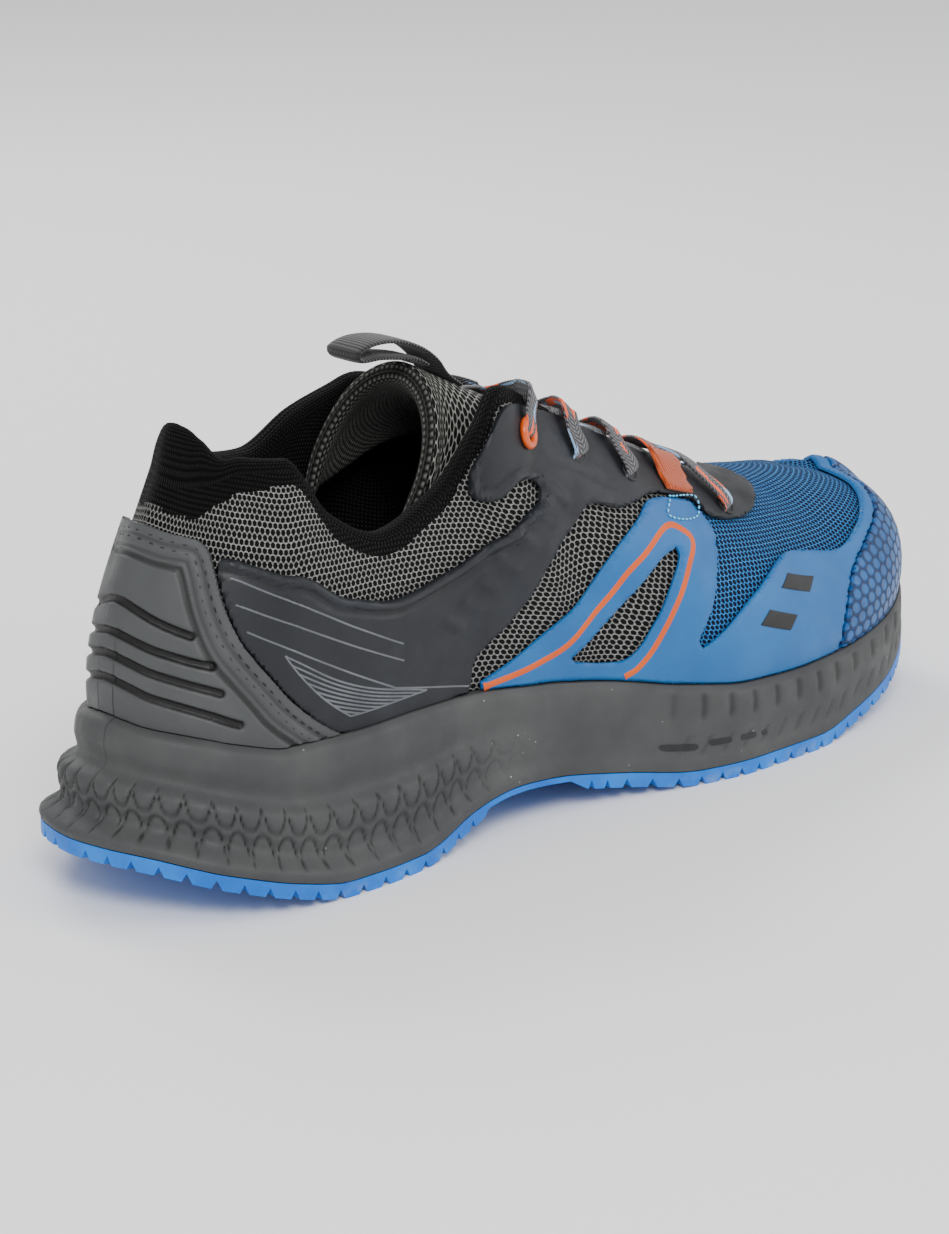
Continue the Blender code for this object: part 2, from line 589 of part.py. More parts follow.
def panel(name, outlines, thickness, proud, colour, roughness):
    """Sheet of even thickness that follows the upper. The first outline is its edge and any other
    a window, in shares of the surface. It is filled flat, cut where the upper's own facets end,
    thickened and laid on the upper."""
    bm = bmesh.new()
    for outline in outlines:
        verts = [bm.verts.new((around, up, 0)) for around, up in outline]
        for near, far in zip(verts, verts[1:] + verts[:1]):
            bm.edges.new((near, far))
    bmesh.ops.triangle_fill(bm, edges=bm.edges[:], use_beauty=True, normal=(0, 0, 1))
    around_cuts = [turn * s for s in UPPER_STATIONS for turn in (1, -1)]
    around_cuts += [2 - s for s in UPPER_STATIONS]
    cuts = [((s, 0, 0), (1, 0, 0)) for s in sorted(set(around_cuts))]
    cuts += [((0, up, 0), (0, 1, 0)) for up in UP_CUTS]
    for place, normal in cuts:
        bmesh.ops.bisect_plane(bm, geom=bm.verts[:] + bm.edges[:] + bm.faces[:],
                               plane_co=place, plane_no=normal, dist=1e-5)

    def on_cut(edge):
        a, b = (v.co for v in edge.verts)
        same_s = abs(a.x - b.x) < 2e-5 and min(abs(a.x - s) for s in around_cuts) < 2e-5
        same_up = abs(a.y - b.y) < 2e-5 and min(abs(a.y - up) for up in UP_CUTS) < 2e-5
        return same_s or same_up

    spare = [e for e in bm.edges if len(e.link_faces) == 2 and not on_cut(e)]
    bmesh.ops.dissolve_edges(bm, edges=spare, use_verts=False)
    bmesh.ops.triangulate(bm, faces=bm.faces[:])
    made = bmesh.ops.extrude_face_region(bm, geom=bm.faces[:], use_keep_orig=True)
    raised = {v for v in made["geom"] if isinstance(v, bmesh.types.BMVert)}
    for v in bm.verts:
        v.co = over_skin(v.co.x, v.co.y, proud + (thickness if v in raised else 0))
    return finish(bm, name, colour, roughness)


def on_side(side, outline):
    return [(s, up) if side == LATERAL else (-s, up) for s, up in outline]


def make_overlays():
    """Counter, quarters with their eyestays, vamp overlays, toe cap and webbing keepers."""
    back = [(-s, up) for s, up in reversed(COUNTER_FRONT)]
    panel("heel_counter", [COUNTER_FRONT + back], COUNTER, SHEET_GAP, (0.116, 0.120, 0.127), 0.5)
    seam = [(s + COUNTER_SEAM, up) for s, up in COUNTER_FRONT[:7]]
    quarter = QUARTER_TOP + EYESTAY_EDGE + WINDOW_REAR + seam
    vamp = TOE_EDGE + VAMP_EDGE + WINDOW_FRONT
    for side, word in ((LATERAL, "lateral"), (MEDIAL, "medial")):
        panel("quarter_overlay_" + word, [on_side(side, quarter)], OVERLAY, SHEET_GAP,
              (0.032, 0.037, 0.048), 0.5)
        panel("vamp_overlay_" + word, [on_side(side, vamp), on_side(side, WINDOW_LOW)], OVERLAY,
              SHEET_GAP, (0.044, 0.205, 0.479), 0.45)
        panel("lace_keeper_" + word, [on_side(side, KEEPER_OUTLINE)], KEEPER,
              SHEET_GAP + OVERLAY + GAP + FACET_ROOM, (1.0, 0.145, 0.007), 0.7)
    cap = [(s + TOE_SEAM, up) for s, up in TOE_EDGE[:-1]] + [(0.975, 0.660), (1.0, 0.690)]
    cap += [(2 - s, up) for s, up in reversed(cap[:-1])]
    panel("toe_cap", [cap], TOE_CAP, SHEET_GAP, (0.035, 0.165, 0.400), 0.4)


def sweep(name, path, widths, thickness, sideways, colour, roughness):
    """Flat band along a path. Sideways gives the band's width direction at each point."""
    rings = []
    for k, point in enumerate(path):
        run = (path[min(k + 1, len(path) - 1)] - path[max(k - 1, 0)]).normalized()
        across = (sideways[k] - run * sideways[k].dot(run)).normalized()
        out = across.cross(run).normalized() * thickness / 2
        half = across * widths[k] / 2
        rings.append([point - half - out, point + half - out, point + half + out,
                      point - half + out])
    bm = bmesh.new()
    loft(bm, rings)
    bm.verts.ensure_lookup_table()
    for first in (0, len(bm.verts) - 4):
        bm.faces.new([bm.verts[first + k] for k in range(4)])
    return finish(bm, name, colour, roughness)


def make_eyelets():
    """Plastic rings of the top lace holes."""
    for side, word in ((LATERAL, "lateral"), (MEDIAL, "medial")):
        around, up = on_side(side, LACE_HOLES[:1])[0]
        out = facing(around, up)
        place = over_skin(around, up, SHEET_GAP + OVERLAY + GAP + FACET_ROOM + RING_BAR)
        turn = out.to_track_quat("Z", "Y").to_matrix()
        bm = bmesh.new()
        rings = []
        for k in range(RING_STEPS):
            angle = 2 * math.pi * k / RING_STEPS
            spoke = turn @ Vector((math.cos(angle), math.sin(angle), 0))
            rings.append([place + spoke * (RING_RADIUS + RING_BAR * math.cos(bend))
                          + out * RING_BAR * math.sin(bend)
                          for bend in (math.pi * j / 3 for j in range(6))])
        loft(bm, rings + rings[:1])
        finish(bm, "eyelet_" + word, (1.0, 0.145, 0.007), 0.35)


def lace_strand(start, end, rise):
    """Path of one strand over the throat, arched between two lace holes."""
    shares = [k / LACE_STEPS for k in range(LACE_STEPS + 1)]
    return [start.lerp(end, t) + Vector((0.6, 0, 1)).normalized() * rise * 4 * t * (1 - t)
            for t in shares]


def make_lace():
    """Flat lace: a bar over the lowest holes and crossings up to the rings, joined in one solid."""
    high = SHEET_GAP + OVERLAY + LACE_STANDOFF
    left = [over_skin(s, up, high) for s, up in on_side(LATERAL, LACE_ENDS)]
    right = [over_skin(s, up, high) for s, up in on_side(MEDIAL, LACE_ENDS)]
    runs = [(left[4], right[4], 0.0)]
    for row in range(4):
        runs.append((left[row + 1], right[row], 0.0))
        runs.append((right[row + 1], left[row], LACE_THICKNESS / 2))
    strands = []
    for k, (start, end, over) in enumerate(runs):
        path = lace_strand(start, end, LACE_ARCH + over)
        along = Vector((path[-1].x - path[0].x, 0, path[-1].z - path[0].z))
        slope = Vector((-0.88, 0, 0.47))
        sideways = [slope] * len(path)
        strands.append(sweep("lace" if k == 0 else "strand", path, [LACE_WIDTH] * len(path),
                             LACE_THICKNESS, sideways, (0.155, 0.155, 0.162), 0.8))
    whole = strands[0]
    for strand in strands[1:]:
        union = whole.modifiers.new("joined", "BOOLEAN")
        union.operation = "UNION"
        union.object = strand
        strand.hide_render = True
        strand.display_type = "WIRE"


# Pull loop, from its front seam on the tongue back over the top and forward again to its rear
# seam. Along and height as shares of LENGTH and INSTEP_HEIGHT.
LoopPoint = namedtuple("LoopPoint", "along height")
PULL_LOOP = [
    LoopPoint(0.430, 0.953),
    LoopPoint(0.413, 0.985),
    LoopPoint(0.402, 1.020),
    LoopPoint(0.385, 1.052),
    LoopPoint(0.358, 1.078),
    LoopPoint(0.330, 1.084),
    LoopPoint(0.310, 1.070),
    LoopPoint(0.313, 1.053),
    LoopPoint(0.336, 1.050),
    LoopPoint(0.362, 1.040),
    LoopPoint(0.380, 1.029),
    LoopPoint(0.391, 1.014),
]


def make_pull_loop():
    """Webbing loop on top of the tongue."""
    path = [Vector((p.along * LENGTH, 0, p.height * INSTEP_HEIGHT)) for p in PULL_LOOP]
    sideways = [Vector((0, 1, 0))] * len(path)
    sweep("tongue_loop", path, [WEBBING_WIDTH] * len(path), WEBBING, sideways,
          (0.012, 0.012, 0.012), 0.8)


for old in list(bpy.data.objects):
    bpy.data.objects.remove(old, do_unlink=True)
shoe = bpy.data.collections.new("outdoor_shoe")
bpy.context.scene.collection.children.link(shoe)

make_outsole()
make_midsole()
make_insole()
make_upper()
make_tongue()
make_overlays()
make_eyelets()
make_lace()
make_pull_loop()
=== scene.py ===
"""Looks of the right outdoor shoe: fabrics, films, foam, rubber, stitching, lace, light and camera.

The surface functions and tables are those of the shoe's solids, so that every piece follows them.
"""
import math
from collections import namedtuple
from functools import lru_cache

import bmesh
import bpy
from mathutils import Matrix, Vector
from mathutils.kdtree import KDTree


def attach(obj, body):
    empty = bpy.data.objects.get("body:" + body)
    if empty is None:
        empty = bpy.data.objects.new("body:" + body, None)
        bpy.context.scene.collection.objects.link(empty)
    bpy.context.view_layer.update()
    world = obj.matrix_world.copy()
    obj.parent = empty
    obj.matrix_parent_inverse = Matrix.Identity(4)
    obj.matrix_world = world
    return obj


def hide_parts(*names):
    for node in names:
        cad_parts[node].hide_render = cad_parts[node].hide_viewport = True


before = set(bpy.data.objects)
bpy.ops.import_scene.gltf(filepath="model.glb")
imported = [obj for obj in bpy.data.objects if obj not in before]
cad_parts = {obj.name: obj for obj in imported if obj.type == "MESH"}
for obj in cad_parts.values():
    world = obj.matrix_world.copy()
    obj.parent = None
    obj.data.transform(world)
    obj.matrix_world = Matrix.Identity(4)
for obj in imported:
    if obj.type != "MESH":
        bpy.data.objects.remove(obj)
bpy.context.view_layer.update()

# Driving sizes, in metres
LENGTH = 0.300  # sole, from the back of the heel to the tip of the toe
BALL_WIDTH = 0.104  # sole, across the ball of the foot
INSTEP_HEIGHT = 0.120  # upper corner of the eyestay, above the floor
SOLE_FLARE = 0.013  # how far the sole's edge stands out past its top rim at the heel
BED_HEIGHT = 0.025  # top of the midsole under the heel of the foot

WALL = 0.0022  # fabric upper with its lining
COLLAR_PAD = 0.0065  # padded collar roll
HEEL_TAB = 0.0150  # how far the tab stands over the collar at the back
OVERLAY = 0.0013  # fused overlays
TOE_CAP = 0.0016
COUNTER = 0.0020  # moulded heel counter
GAP = 0.0003  # between pieces that touch
SHEET_GAP = 0.0006  # between the upper's facets and a sheet that follows them
RIM_SET_BACK = 0.0026  # from the midsole's top rim in to the upper
RIM_LAND = 0.0062  # flat top of the midsole's rim, under the upper's edge

PLATE = 0.0016  # outsole between its lugs
LUG_DEPTH = 0.0025
RIB_PITCH = 0.0074  # scallops of the midsole's heel band
RIB_DEPTH = 0.0011
KEEPER = 0.0012  # orange webbing
RING_RADIUS = 0.0034  # eyelet, to the middle of its bar
RING_BAR = 0.0009
LACE_WIDTH = 0.0065
LACE_THICKNESS = 0.0012
WEBBING = 0.0015  # pull loop
WEBBING_WIDTH = 0.013

HALF_WIDTH = BALL_WIDTH / 2
LATERAL = -1
MEDIAL = 1
# Sections of the last, from the back of the heel (0) to the tip of the toe (1). Columns: station;
# the sole's edge (along, across); flare share; height of the midsole's rim; and the upper's top
# edge (along, across, height). Along is a share of LENGTH, across of HALF_WIDTH and height of
# INSTEP_HEIGHT. Across grows away from the shoe's middle, on each side.
Section = namedtuple("Section", "station edge_along edge_across flare rim_height "
                     "top_along top_across top_height")
LATERAL_SECTIONS = [
    Section(0.00, 0.000, 0.000, 1.00, 0.400, 0.105, 0.000, 0.876),
    Section(0.04, 0.008, 0.255, 1.00, 0.391, 0.112, 0.115, 0.867),
    Section(0.09, 0.038, 0.530, 0.96, 0.378, 0.126, 0.221, 0.872),
    Section(0.14, 0.083, 0.745, 0.88, 0.359, 0.148, 0.327, 0.897),
    Section(0.20, 0.147, 0.846, 0.81, 0.332, 0.182, 0.438, 0.898),
    Section(0.26, 0.220, 0.852, 0.73, 0.330, 0.220, 0.519, 0.769),
    Section(0.32, 0.293, 0.808, 0.58, 0.334, 0.267, 0.567, 0.711),
    Section(0.39, 0.367, 0.740, 0.42, 0.326, 0.327, 0.587, 0.772),
    Section(0.45, 0.440, 0.737, 0.31, 0.305, 0.373, 0.610, 0.905),
    Section(0.48, 0.477, 0.763, 0.31, 0.292, 0.403, 0.577, 0.980),
    Section(0.52, 0.513, 0.798, 0.31, 0.276, 0.460, 0.423, 0.926),
    Section(0.58, 0.590, 0.904, 0.35, 0.234, 0.527, 0.356, 0.842),
    Section(0.65, 0.667, 0.975, 0.38, 0.205, 0.607, 0.317, 0.738),
    Section(0.72, 0.743, 0.967, 0.38, 0.197, 0.667, 0.269, 0.672),
    Section(0.78, 0.810, 0.904, 0.35, 0.197, 0.713, 0.163, 0.630),
    Section(0.84, 0.881, 0.785, 0.22, 0.213, 0.747, -0.020, 0.613),
    Section(0.90, 0.940, 0.600, 0.10, 0.238, 0.810, -0.038, 0.584),
    Section(0.95, 0.981, 0.355, 0.04, 0.263, 0.853, -0.058, 0.567),
    Section(1.00, 1.000, -0.038, 0.04, 0.276, 0.880, -0.077, 0.551),
]
MEDIAL_SECTIONS = [
    Section(0.00, 0.000, 0.000, 1.00, 0.400, 0.105, 0.000, 0.876),
    Section(0.04, 0.008, 0.255, 1.00, 0.391, 0.112, 0.115, 0.867),
    Section(0.09, 0.040, 0.505, 0.96, 0.378, 0.126, 0.221, 0.872),
    Section(0.14, 0.087, 0.695, 0.88, 0.359, 0.148, 0.327, 0.890),
    Section(0.20, 0.149, 0.795, 0.81, 0.336, 0.182, 0.438, 0.868),
    Section(0.26, 0.220, 0.808, 0.69, 0.338, 0.220, 0.519, 0.822),
    Section(0.32, 0.293, 0.731, 0.50, 0.347, 0.267, 0.567, 0.805),
    Section(0.39, 0.367, 0.663, 0.35, 0.342, 0.327, 0.587, 0.868),
    Section(0.45, 0.440, 0.654, 0.31, 0.326, 0.373, 0.577, 0.905),
    Section(0.48, 0.477, 0.679, 0.31, 0.313, 0.403, 0.548, 0.930),
    Section(0.52, 0.513, 0.721, 0.31, 0.292, 0.460, 0.423, 0.900),
    Section(0.58, 0.590, 0.846, 0.35, 0.251, 0.527, 0.365, 0.842),
    Section(0.65, 0.667, 0.967, 0.38, 0.222, 0.607, 0.327, 0.742),
    Section(0.72, 0.743, 1.029, 0.38, 0.205, 0.667, 0.288, 0.676),
    Section(0.78, 0.810, 1.000, 0.35, 0.197, 0.713, 0.183, 0.632),
    Section(0.84, 0.879, 0.880, 0.22, 0.209, 0.747, 0.020, 0.613),
    Section(0.90, 0.938, 0.690, 0.10, 0.234, 0.810, 0.038, 0.584),
    Section(0.95, 0.980, 0.420, 0.04, 0.263, 0.853, 0.058, 0.567),
    Section(1.00, 1.000, 0.038, 0.04, 0.276, 0.880, 0.077, 0.551),
]
THROAT_END = 0.84  # station where the two top edges meet and the vamp closes

# How full each section is: reach of the curve's handles out and up, as shares of INSTEP_HEIGHT,
# the pad's share of COLLAR_PAD, and the roll's height over the top edge as a share of HEEL_TAB.
Fullness = namedtuple("Fullness", "station low_out low_up high_out high_down pad roll")
FULLNESS = [
    Fullness(0.00, 0.013, 0.167, 0.067, 0.150, 1.00, 1.00),
    Fullness(0.05, 0.015, 0.160, 0.060, 0.155, 1.00, 0.80),
    Fullness(0.10, 0.017, 0.155, 0.055, 0.160, 1.00, 0.34),
    Fullness(0.20, 0.016, 0.150, 0.045, 0.150, 1.00, 0.22),
    Fullness(0.32, 0.008, 0.130, 0.025, 0.120, 1.00, 0.22),
    Fullness(0.42, 0.004, 0.155, 0.018, 0.150, 0.92, 0.20),
    Fullness(0.48, 0.000, 0.183, 0.050, 0.240, 0.70, 0.12),
    Fullness(0.54, 0.010, 0.180, 0.080, 0.130, 0.36, 0.06),
    Fullness(0.65, 0.021, 0.155, 0.120, 0.065, 0.34, 0.06),
    Fullness(0.78, 0.027, 0.155, 0.185, 0.020, 0.34, 0.05),
    Fullness(0.84, 0.030, 0.165, 0.225, 0.000, 0.34, 0.00),
    Fullness(0.90, 0.040, 0.185, 0.235, 0.000, 0.34, 0.00),
    Fullness(1.00, 0.045, 0.190, 0.225, 0.000, 0.34, 0.00),
]

# Underside of the lugs above the floor and top of the footbed, by share of LENGTH. Lift is a share
# of INSTEP_HEIGHT, bed a share of BED_HEIGHT.
SoleLine = namedtuple("SoleLine", "station lift bed")
SOLE_LINE = [
    SoleLine(0.00, 0.117, 1.00),
    SoleLine(0.07, 0.072, 1.00),
    SoleLine(0.13, 0.030, 1.00),
    SoleLine(0.19, 0.000, 1.00),
    SoleLine(0.27, 0.000, 1.00),
    SoleLine(0.34, 0.042, 0.98),
    SoleLine(0.40, 0.066, 0.95),
    SoleLine(0.45, 0.058, 0.90),
    SoleLine(0.52, 0.032, 0.82),
    SoleLine(0.61, 0.000, 0.74),
    SoleLine(0.76, 0.000, 0.70),
    SoleLine(0.82, 0.022, 0.74),
    SoleLine(0.88, 0.048, 0.80),
    SoleLine(0.94, 0.092, 0.92),
    SoleLine(1.00, 0.150, 1.10),
]

# Sidewall of the midsole from its rim down: how far out towards the sole's edge and how high, as
# shares, at the heel and at the forefoot. Rib is the share of RIB_DEPTH that a scallop cuts there.
Wall = namedtuple("Wall", "heel_out heel_up fore_out fore_up rib")
SIDEWALL = [
    Wall(0.00, 1.00, 0.00, 1.00, 0.0),
    Wall(0.21, 0.94, 0.36, 0.92, 0.0),
    Wall(0.28, 0.79, 0.58, 0.78, 0.0),
    Wall(0.25, 0.61, 0.69, 0.62, 0.0),
    Wall(0.60, 0.50, 0.73, 0.47, 0.5),
    Wall(0.66, 0.35, 0.76, 0.36, 1.0),
    Wall(0.63, 0.20, 0.82, 0.22, 1.0),
    Wall(1.00, 0.08, 0.97, 0.08, 0.0),
    Wall(1.00, 0.00, 1.00, 0.00, 0.0),
]
BAND_FADES = (0.34, 0.50)  # stations where the heel's ribbed band runs out


def smooth_step(low, high, value):
    """Share from 0 at low to 1 at high, with soft ends."""
    share = min(max((value - low) / (high - low), 0.0), 1.0)
    return share * share * (3 - 2 * share)


def follow(rows, column, station):
    """Value of a table's column at a station, on a smooth curve that never overshoots its rows."""
    keys = [row.station for row in rows]
    values = [getattr(row, column) for row in rows]
    last = len(rows) - 1
    station = min(max(station, keys[0]), keys[last])
    i = max(k for k in range(last) if keys[k] <= station)

    def secant(k):
        return (values[k + 1] - values[k]) / (keys[k + 1] - keys[k])

    def slope(k):
        if k in (0, last):
            return secant(min(k, last - 1)) if column.endswith("across") else 0.0
        before, after = secant(k - 1), secant(k)
        return 2 * before * after / (before + after) if before * after > 0 else 0.0

    span = keys[i + 1] - keys[i]
    t = (station - keys[i]) / span
    rise = values[i + 1] - values[i]
    a = slope(i) * span - rise
    b = rise - slope(i + 1) * span
    return values[i] + t * rise + t * (1 - t) * ((1 - t) * a + t * b)


def sections(side):
    """The last's sections on one side."""
    return LATERAL_SECTIONS if side == LATERAL else MEDIAL_SECTIONS


@lru_cache(maxsize=None)
def sole_edge(side, station):
    """Point of the sole's edge in plan."""
    rows = sections(side)
    along = follow(rows, "edge_along", station) * LENGTH
    across = follow(rows, "edge_across", station) * HALF_WIDTH
    return Vector((along, side * across, 0))


@lru_cache(maxsize=None)
def outward(side, station):
    """Level direction that points straight out of the sole's edge."""
    step = 0.01
    if station < step:
        run = sole_edge(side, step) - sole_edge(-side, step)
    elif station > 1 - step:
        run = sole_edge(-side, 1 - step) - sole_edge(side, 1 - step)
    else:
        run = sole_edge(side, station + step) - sole_edge(side, station - step)
    return Vector((-side * run.y, side * run.x, 0)).normalized()


def lift(along):
    """Height of the lugs' undersides above the floor."""
    return follow(SOLE_LINE, "lift", along / LENGTH) * INSTEP_HEIGHT


def sole_parting(along):
    """Height at which the midsole ends and the outsole begins."""
    return lift(along) + LUG_DEPTH + PLATE + GAP


def bed_height(along):
    """Height of the midsole's bed, under the footbed."""
    return follow(SOLE_LINE, "bed", along / LENGTH) * BED_HEIGHT


def rim_height(side, station):
    """Height of the midsole's top rim."""
    return follow(sections(side), "rim_height", station) * INSTEP_HEIGHT


def inset_point(side, station, inset, height):
    """Point set in from the sole's edge by a level distance."""
    point = sole_edge(side, station) - outward(side, station) * inset
    return Vector((point.x, point.y, height))


def rim_inset(side, station):
    """How far the midsole's top rim lies in from the sole's edge."""
    return follow(sections(side), "flare", station) * SOLE_FLARE


@lru_cache(maxsize=None)
def top_edge(side, station):
    """Top edge of the upper: the collar, then the throat, then the crest of the vamp."""
    def one_side(which):
        rows = sections(which)
        return Vector((follow(rows, "top_along", station) * LENGTH,
                       which * follow(rows, "top_across", station) * HALF_WIDTH,
                       follow(rows, "top_height", station) * INSTEP_HEIGHT))
    if station >= THROAT_END:
        return (one_side(LATERAL) + one_side(MEDIAL)) / 2
    return one_side(side)


@lru_cache(maxsize=None)
def rib(side, station):
    """Four control points of the upper's section curve, from the sole up to its top edge."""
    foot = inset_point(side, station, rim_inset(side, station) + RIM_SET_BACK,
                       rim_height(side, station) + GAP)
    top = top_edge(side, station)
    out = outward(side, station)
    reach = Vector((foot.x - top.x, foot.y - top.y, 0)).normalized()
    crown = smooth_step(0.50, 0.78, station)
    reach = out.lerp(reach, crown).normalized()
    step = 0.01
    ahead, behind = top_edge(side, min(station + step, 1)), top_edge(side, station - step)
    crest_slope = (ahead.z - behind.z) / max(ahead.x - behind.x, step * LENGTH)
    low_out, low_up, high_out, high_down = (
        follow(FULLNESS, name, station) * INSTEP_HEIGHT
        for name in ("low_out", "low_up", "high_out", "high_down"))
    settle = crown * high_out * reach.x * crest_slope
    return (foot, foot + out * low_out + Vector((0, 0, low_up)),
            top + reach * high_out + Vector((0, 0, settle - high_down)), top)


def skin(around, up):
    """Point of the upper's outer surface. Around runs 0 to 1 on the outer side, heel to toe, and
    goes on to 2 back along the inner side; below 0 it is the inner side too. Up runs from 0 at
    the sole to 1 at the top edge, and past 1 it goes down the other side."""
    side = LATERAL if 0 <= around <= 1 else MEDIAL
    station = 2 - around if around > 1 else abs(around)
    if up > 1:
        side, up = -side, 2 - up
    a, b, c, d = rib(side, station)
    rest = 1 - up
    return a * rest ** 3 + b * 3 * rest ** 2 * up + c * 3 * rest * up ** 2 + d * up ** 3


def facing(around, up):
    """Outward direction of the upper's surface."""
    station = 2 - around if around > 1 else abs(around)
    over = station >= THROAT_END
    du, dv = 0.004, 0.012
    towards_throat = min(du, station - THROAT_END) if over else du
    back, ahead = (towards_throat, du) if 0 <= around <= 1 else (du, towards_throat)
    low, high = max(up - dv, 0), up + dv if over else min(up + dv, 1)
    across = skin(around + ahead, up) - skin(around - back, up)
    upward = skin(around, high) - skin(around, low)
    return across.cross(upward).normalized()


# The model's own frame has the middle of the sole's box at its origin
EDGE_SAMPLES = [sole_edge(side, k / 100) for side in (LATERAL, MEDIAL) for k in range(101)]
MIDDLE = Vector(((min(p.x for p in EDGE_SAMPLES) + max(p.x for p in EDGE_SAMPLES)) / 2,
                 (min(p.y for p in EDGE_SAMPLES) + max(p.y for p in EDGE_SAMPLES)) / 2, 0))


def band_share(station):
    """How much of the heel's ribbed band is left at a station."""
    return 1 - smooth_step(*BAND_FADES, station)


# Sections of the tongue from its sewn front end to its top: crown (along, height), half width,
# how far the sides drop under the crown, and thickness. Along is a share of LENGTH, width of
# HALF_WIDTH, and height, drop and thickness of INSTEP_HEIGHT.
TongueSection = namedtuple("TongueSection", "along height width drop thickness")
TONGUE_SECTIONS = [
    TongueSection(0.765, 0.564, 0.20, 0.034, 0.024),
    TongueSection(0.700, 0.597, 0.28, 0.044, 0.030),
    TongueSection(0.620, 0.696, 0.36, 0.050, 0.036),
    TongueSection(0.530, 0.804, 0.40, 0.075, 0.046),
    TongueSection(0.465, 0.889, 0.43, 0.120, 0.058),
    TongueSection(0.420, 0.959, 0.45, 0.190, 0.064),
    TongueSection(0.390, 1.004, 0.46, 0.240, 0.062),
    TongueSection(0.378, 1.019, 0.45, 0.250, 0.050),
]
TONGUE_SEAM = 0.86  # station where the tongue is sewn under the vamp

# Outlines of the overlays on the outer side, in shares of the surface: station, and up. The inner
# side's are their mirror images.
COUNTER_FRONT = [(0.248, 0.012), (0.214, 0.143), (0.191, 0.230), (0.159, 0.340), (0.138, 0.430),
                 (0.123, 0.530), (0.110, 0.667), (0.100, 0.745), (0.085, 0.785), (0.043, 0.807)]
COUNTER_SEAM = 0.005  # share between the counter's front edge and the quarter's
QUARTER_TOP = [(0.118, 0.700), (0.161, 0.651), (0.199, 0.616), (0.238, 0.628), (0.277, 0.658),
               (0.328, 0.672), (0.380, 0.662), (0.438, 0.631), (0.467, 0.626), (0.492, 0.660),
               (0.498, 0.700), (0.490, 0.730), (0.459, 0.749), (0.440, 0.785), (0.426, 0.870),
               (0.430, 0.950)]
EYESTAY_EDGE = [(0.470, 0.965), (0.820, 0.965), (0.832, 0.870), (0.822, 0.779), (0.791, 0.733),
                (0.732, 0.668), (0.700, 0.655), (0.682, 0.668), (0.676, 0.740), (0.638, 0.740),
                (0.616, 0.712)]
WINDOW_REAR = [(0.599, 0.668), (0.577, 0.630), (0.547, 0.626), (0.523, 0.560), (0.495, 0.501),
               (0.446, 0.345), (0.394, 0.185), (0.386, 0.050), (0.384, 0.012)]
WINDOW_FRONT = [(0.664, 0.722), (0.640, 0.722), (0.618, 0.696), (0.609, 0.670), (0.593, 0.606),
                (0.562, 0.506), (0.512, 0.336), (0.462, 0.218), (0.426, 0.123), (0.396, 0.043)]
VAMP_EDGE = [(0.945, 0.625), (0.917, 0.514), (0.870, 0.422), (0.829, 0.391),
             (0.782, 0.469), (0.751, 0.489), (0.691, 0.366), (0.655, 0.282), (0.604, 0.152),
             (0.602, 0.183), (0.632, 0.340), (0.669, 0.567), (0.674, 0.640)]
TOE_EDGE = [(0.782, 0.012), (0.793, 0.141), (0.818, 0.273), (0.860, 0.349), (0.920, 0.444),
            (0.945, 0.545)]
TOE_SEAM = 0.004  # share between the vamp overlay's front edge and the toe cap's
WINDOW_LOW = [(0.617, 0.522), (0.616, 0.490), (0.595, 0.385), (0.565, 0.237), (0.537, 0.091),
              (0.513, 0.071), (0.481, 0.078), (0.478, 0.095), (0.519, 0.211), (0.547, 0.310),
              (0.593, 0.462)]
KEEPER_OUTLINE = [(0.642, 0.752), (0.674, 0.752), (0.690, 0.945), (0.650, 0.945)]
# Lace holes and the places where the lace leaves the throat's edge, one row each from the top down
HOLES = [(0.495, 0.873), (0.557, 0.812), (0.610, 0.794), (0.667, 0.860), (0.717, 0.715)]
LACE_ENDS = [(0.505, 0.975), (0.557, 0.920), (0.610, 0.910), (0.665, 0.930), (0.717, 0.890)]
KEEPER_ROW = 3  # the lace passes a webbing keeper there, and no punched hole

EDGE_LENGTH = 0.345  # outline of the sole along one side
COLUMNS, ROWS = 400, 60  # points of the upper's surface table
RIB_STEPS = 12  # chords that measure the upper's height along its surface


def on_side(side, outline):
    """Outline in shares, mirrored for the inner side."""
    return [(s, up) if side == LATERAL else (-s, up) for s, up in outline]


def around_of(side, station):
    """Place round the shoe, as skin counts it, of a station on one side."""
    if side == LATERAL:
        return station
    return -station if station < 0.5 else 2 - station


def surface_table(side):
    """Points and outward directions of one side of the upper, by column and row."""
    def at(column, row):
        around, up = around_of(side, column / COLUMNS), row / ROWS
        return skin(around, up), facing(around, up)
    return [[at(k, j) for j in range(ROWS + 1)] for k in range(COLUMNS + 1)]


SURFACE = {side: surface_table(side) for side in (LATERAL, MEDIAL)}


def spot(around, up):
    """Point and outward direction of the upper's surface, read between the table's points."""
    side = LATERAL if 0 <= around <= 1 else MEDIAL
    station = 2 - around if around > 1 else abs(around)
    if up > 1:
        side, up = -side, 2 - up
    x, y = min(station, 1) * COLUMNS, min(max(up, 0), 1) * ROWS
    i, j = min(int(x), COLUMNS - 1), min(int(y), ROWS - 1)
    fx, fy = x - i, y - j
    table = SURFACE[side]
    corners = ((table[i][j], (1 - fx) * (1 - fy)), (table[i + 1][j], fx * (1 - fy)),
               (table[i][j + 1], (1 - fx) * fy), (table[i + 1][j + 1], fx * fy))
    point, out = Vector(), Vector()
    for (place, normal), share in corners:
        point += place * share
        out += normal * share
    return point, out.normalized()


def on_skin(around, up, proud=0.0):
    """Point that stands off the upper's surface by a distance."""
    point, out = spot(around, up)
    return point + out * proud


@lru_cache(maxsize=None)
def rib_length(around):
    """Length of the upper from the sole to its top edge."""
    points = [on_skin(around, k / RIB_STEPS) for k in range(RIB_STEPS + 1)]
    return sum((b - a).length for a, b in zip(points, points[1:]))


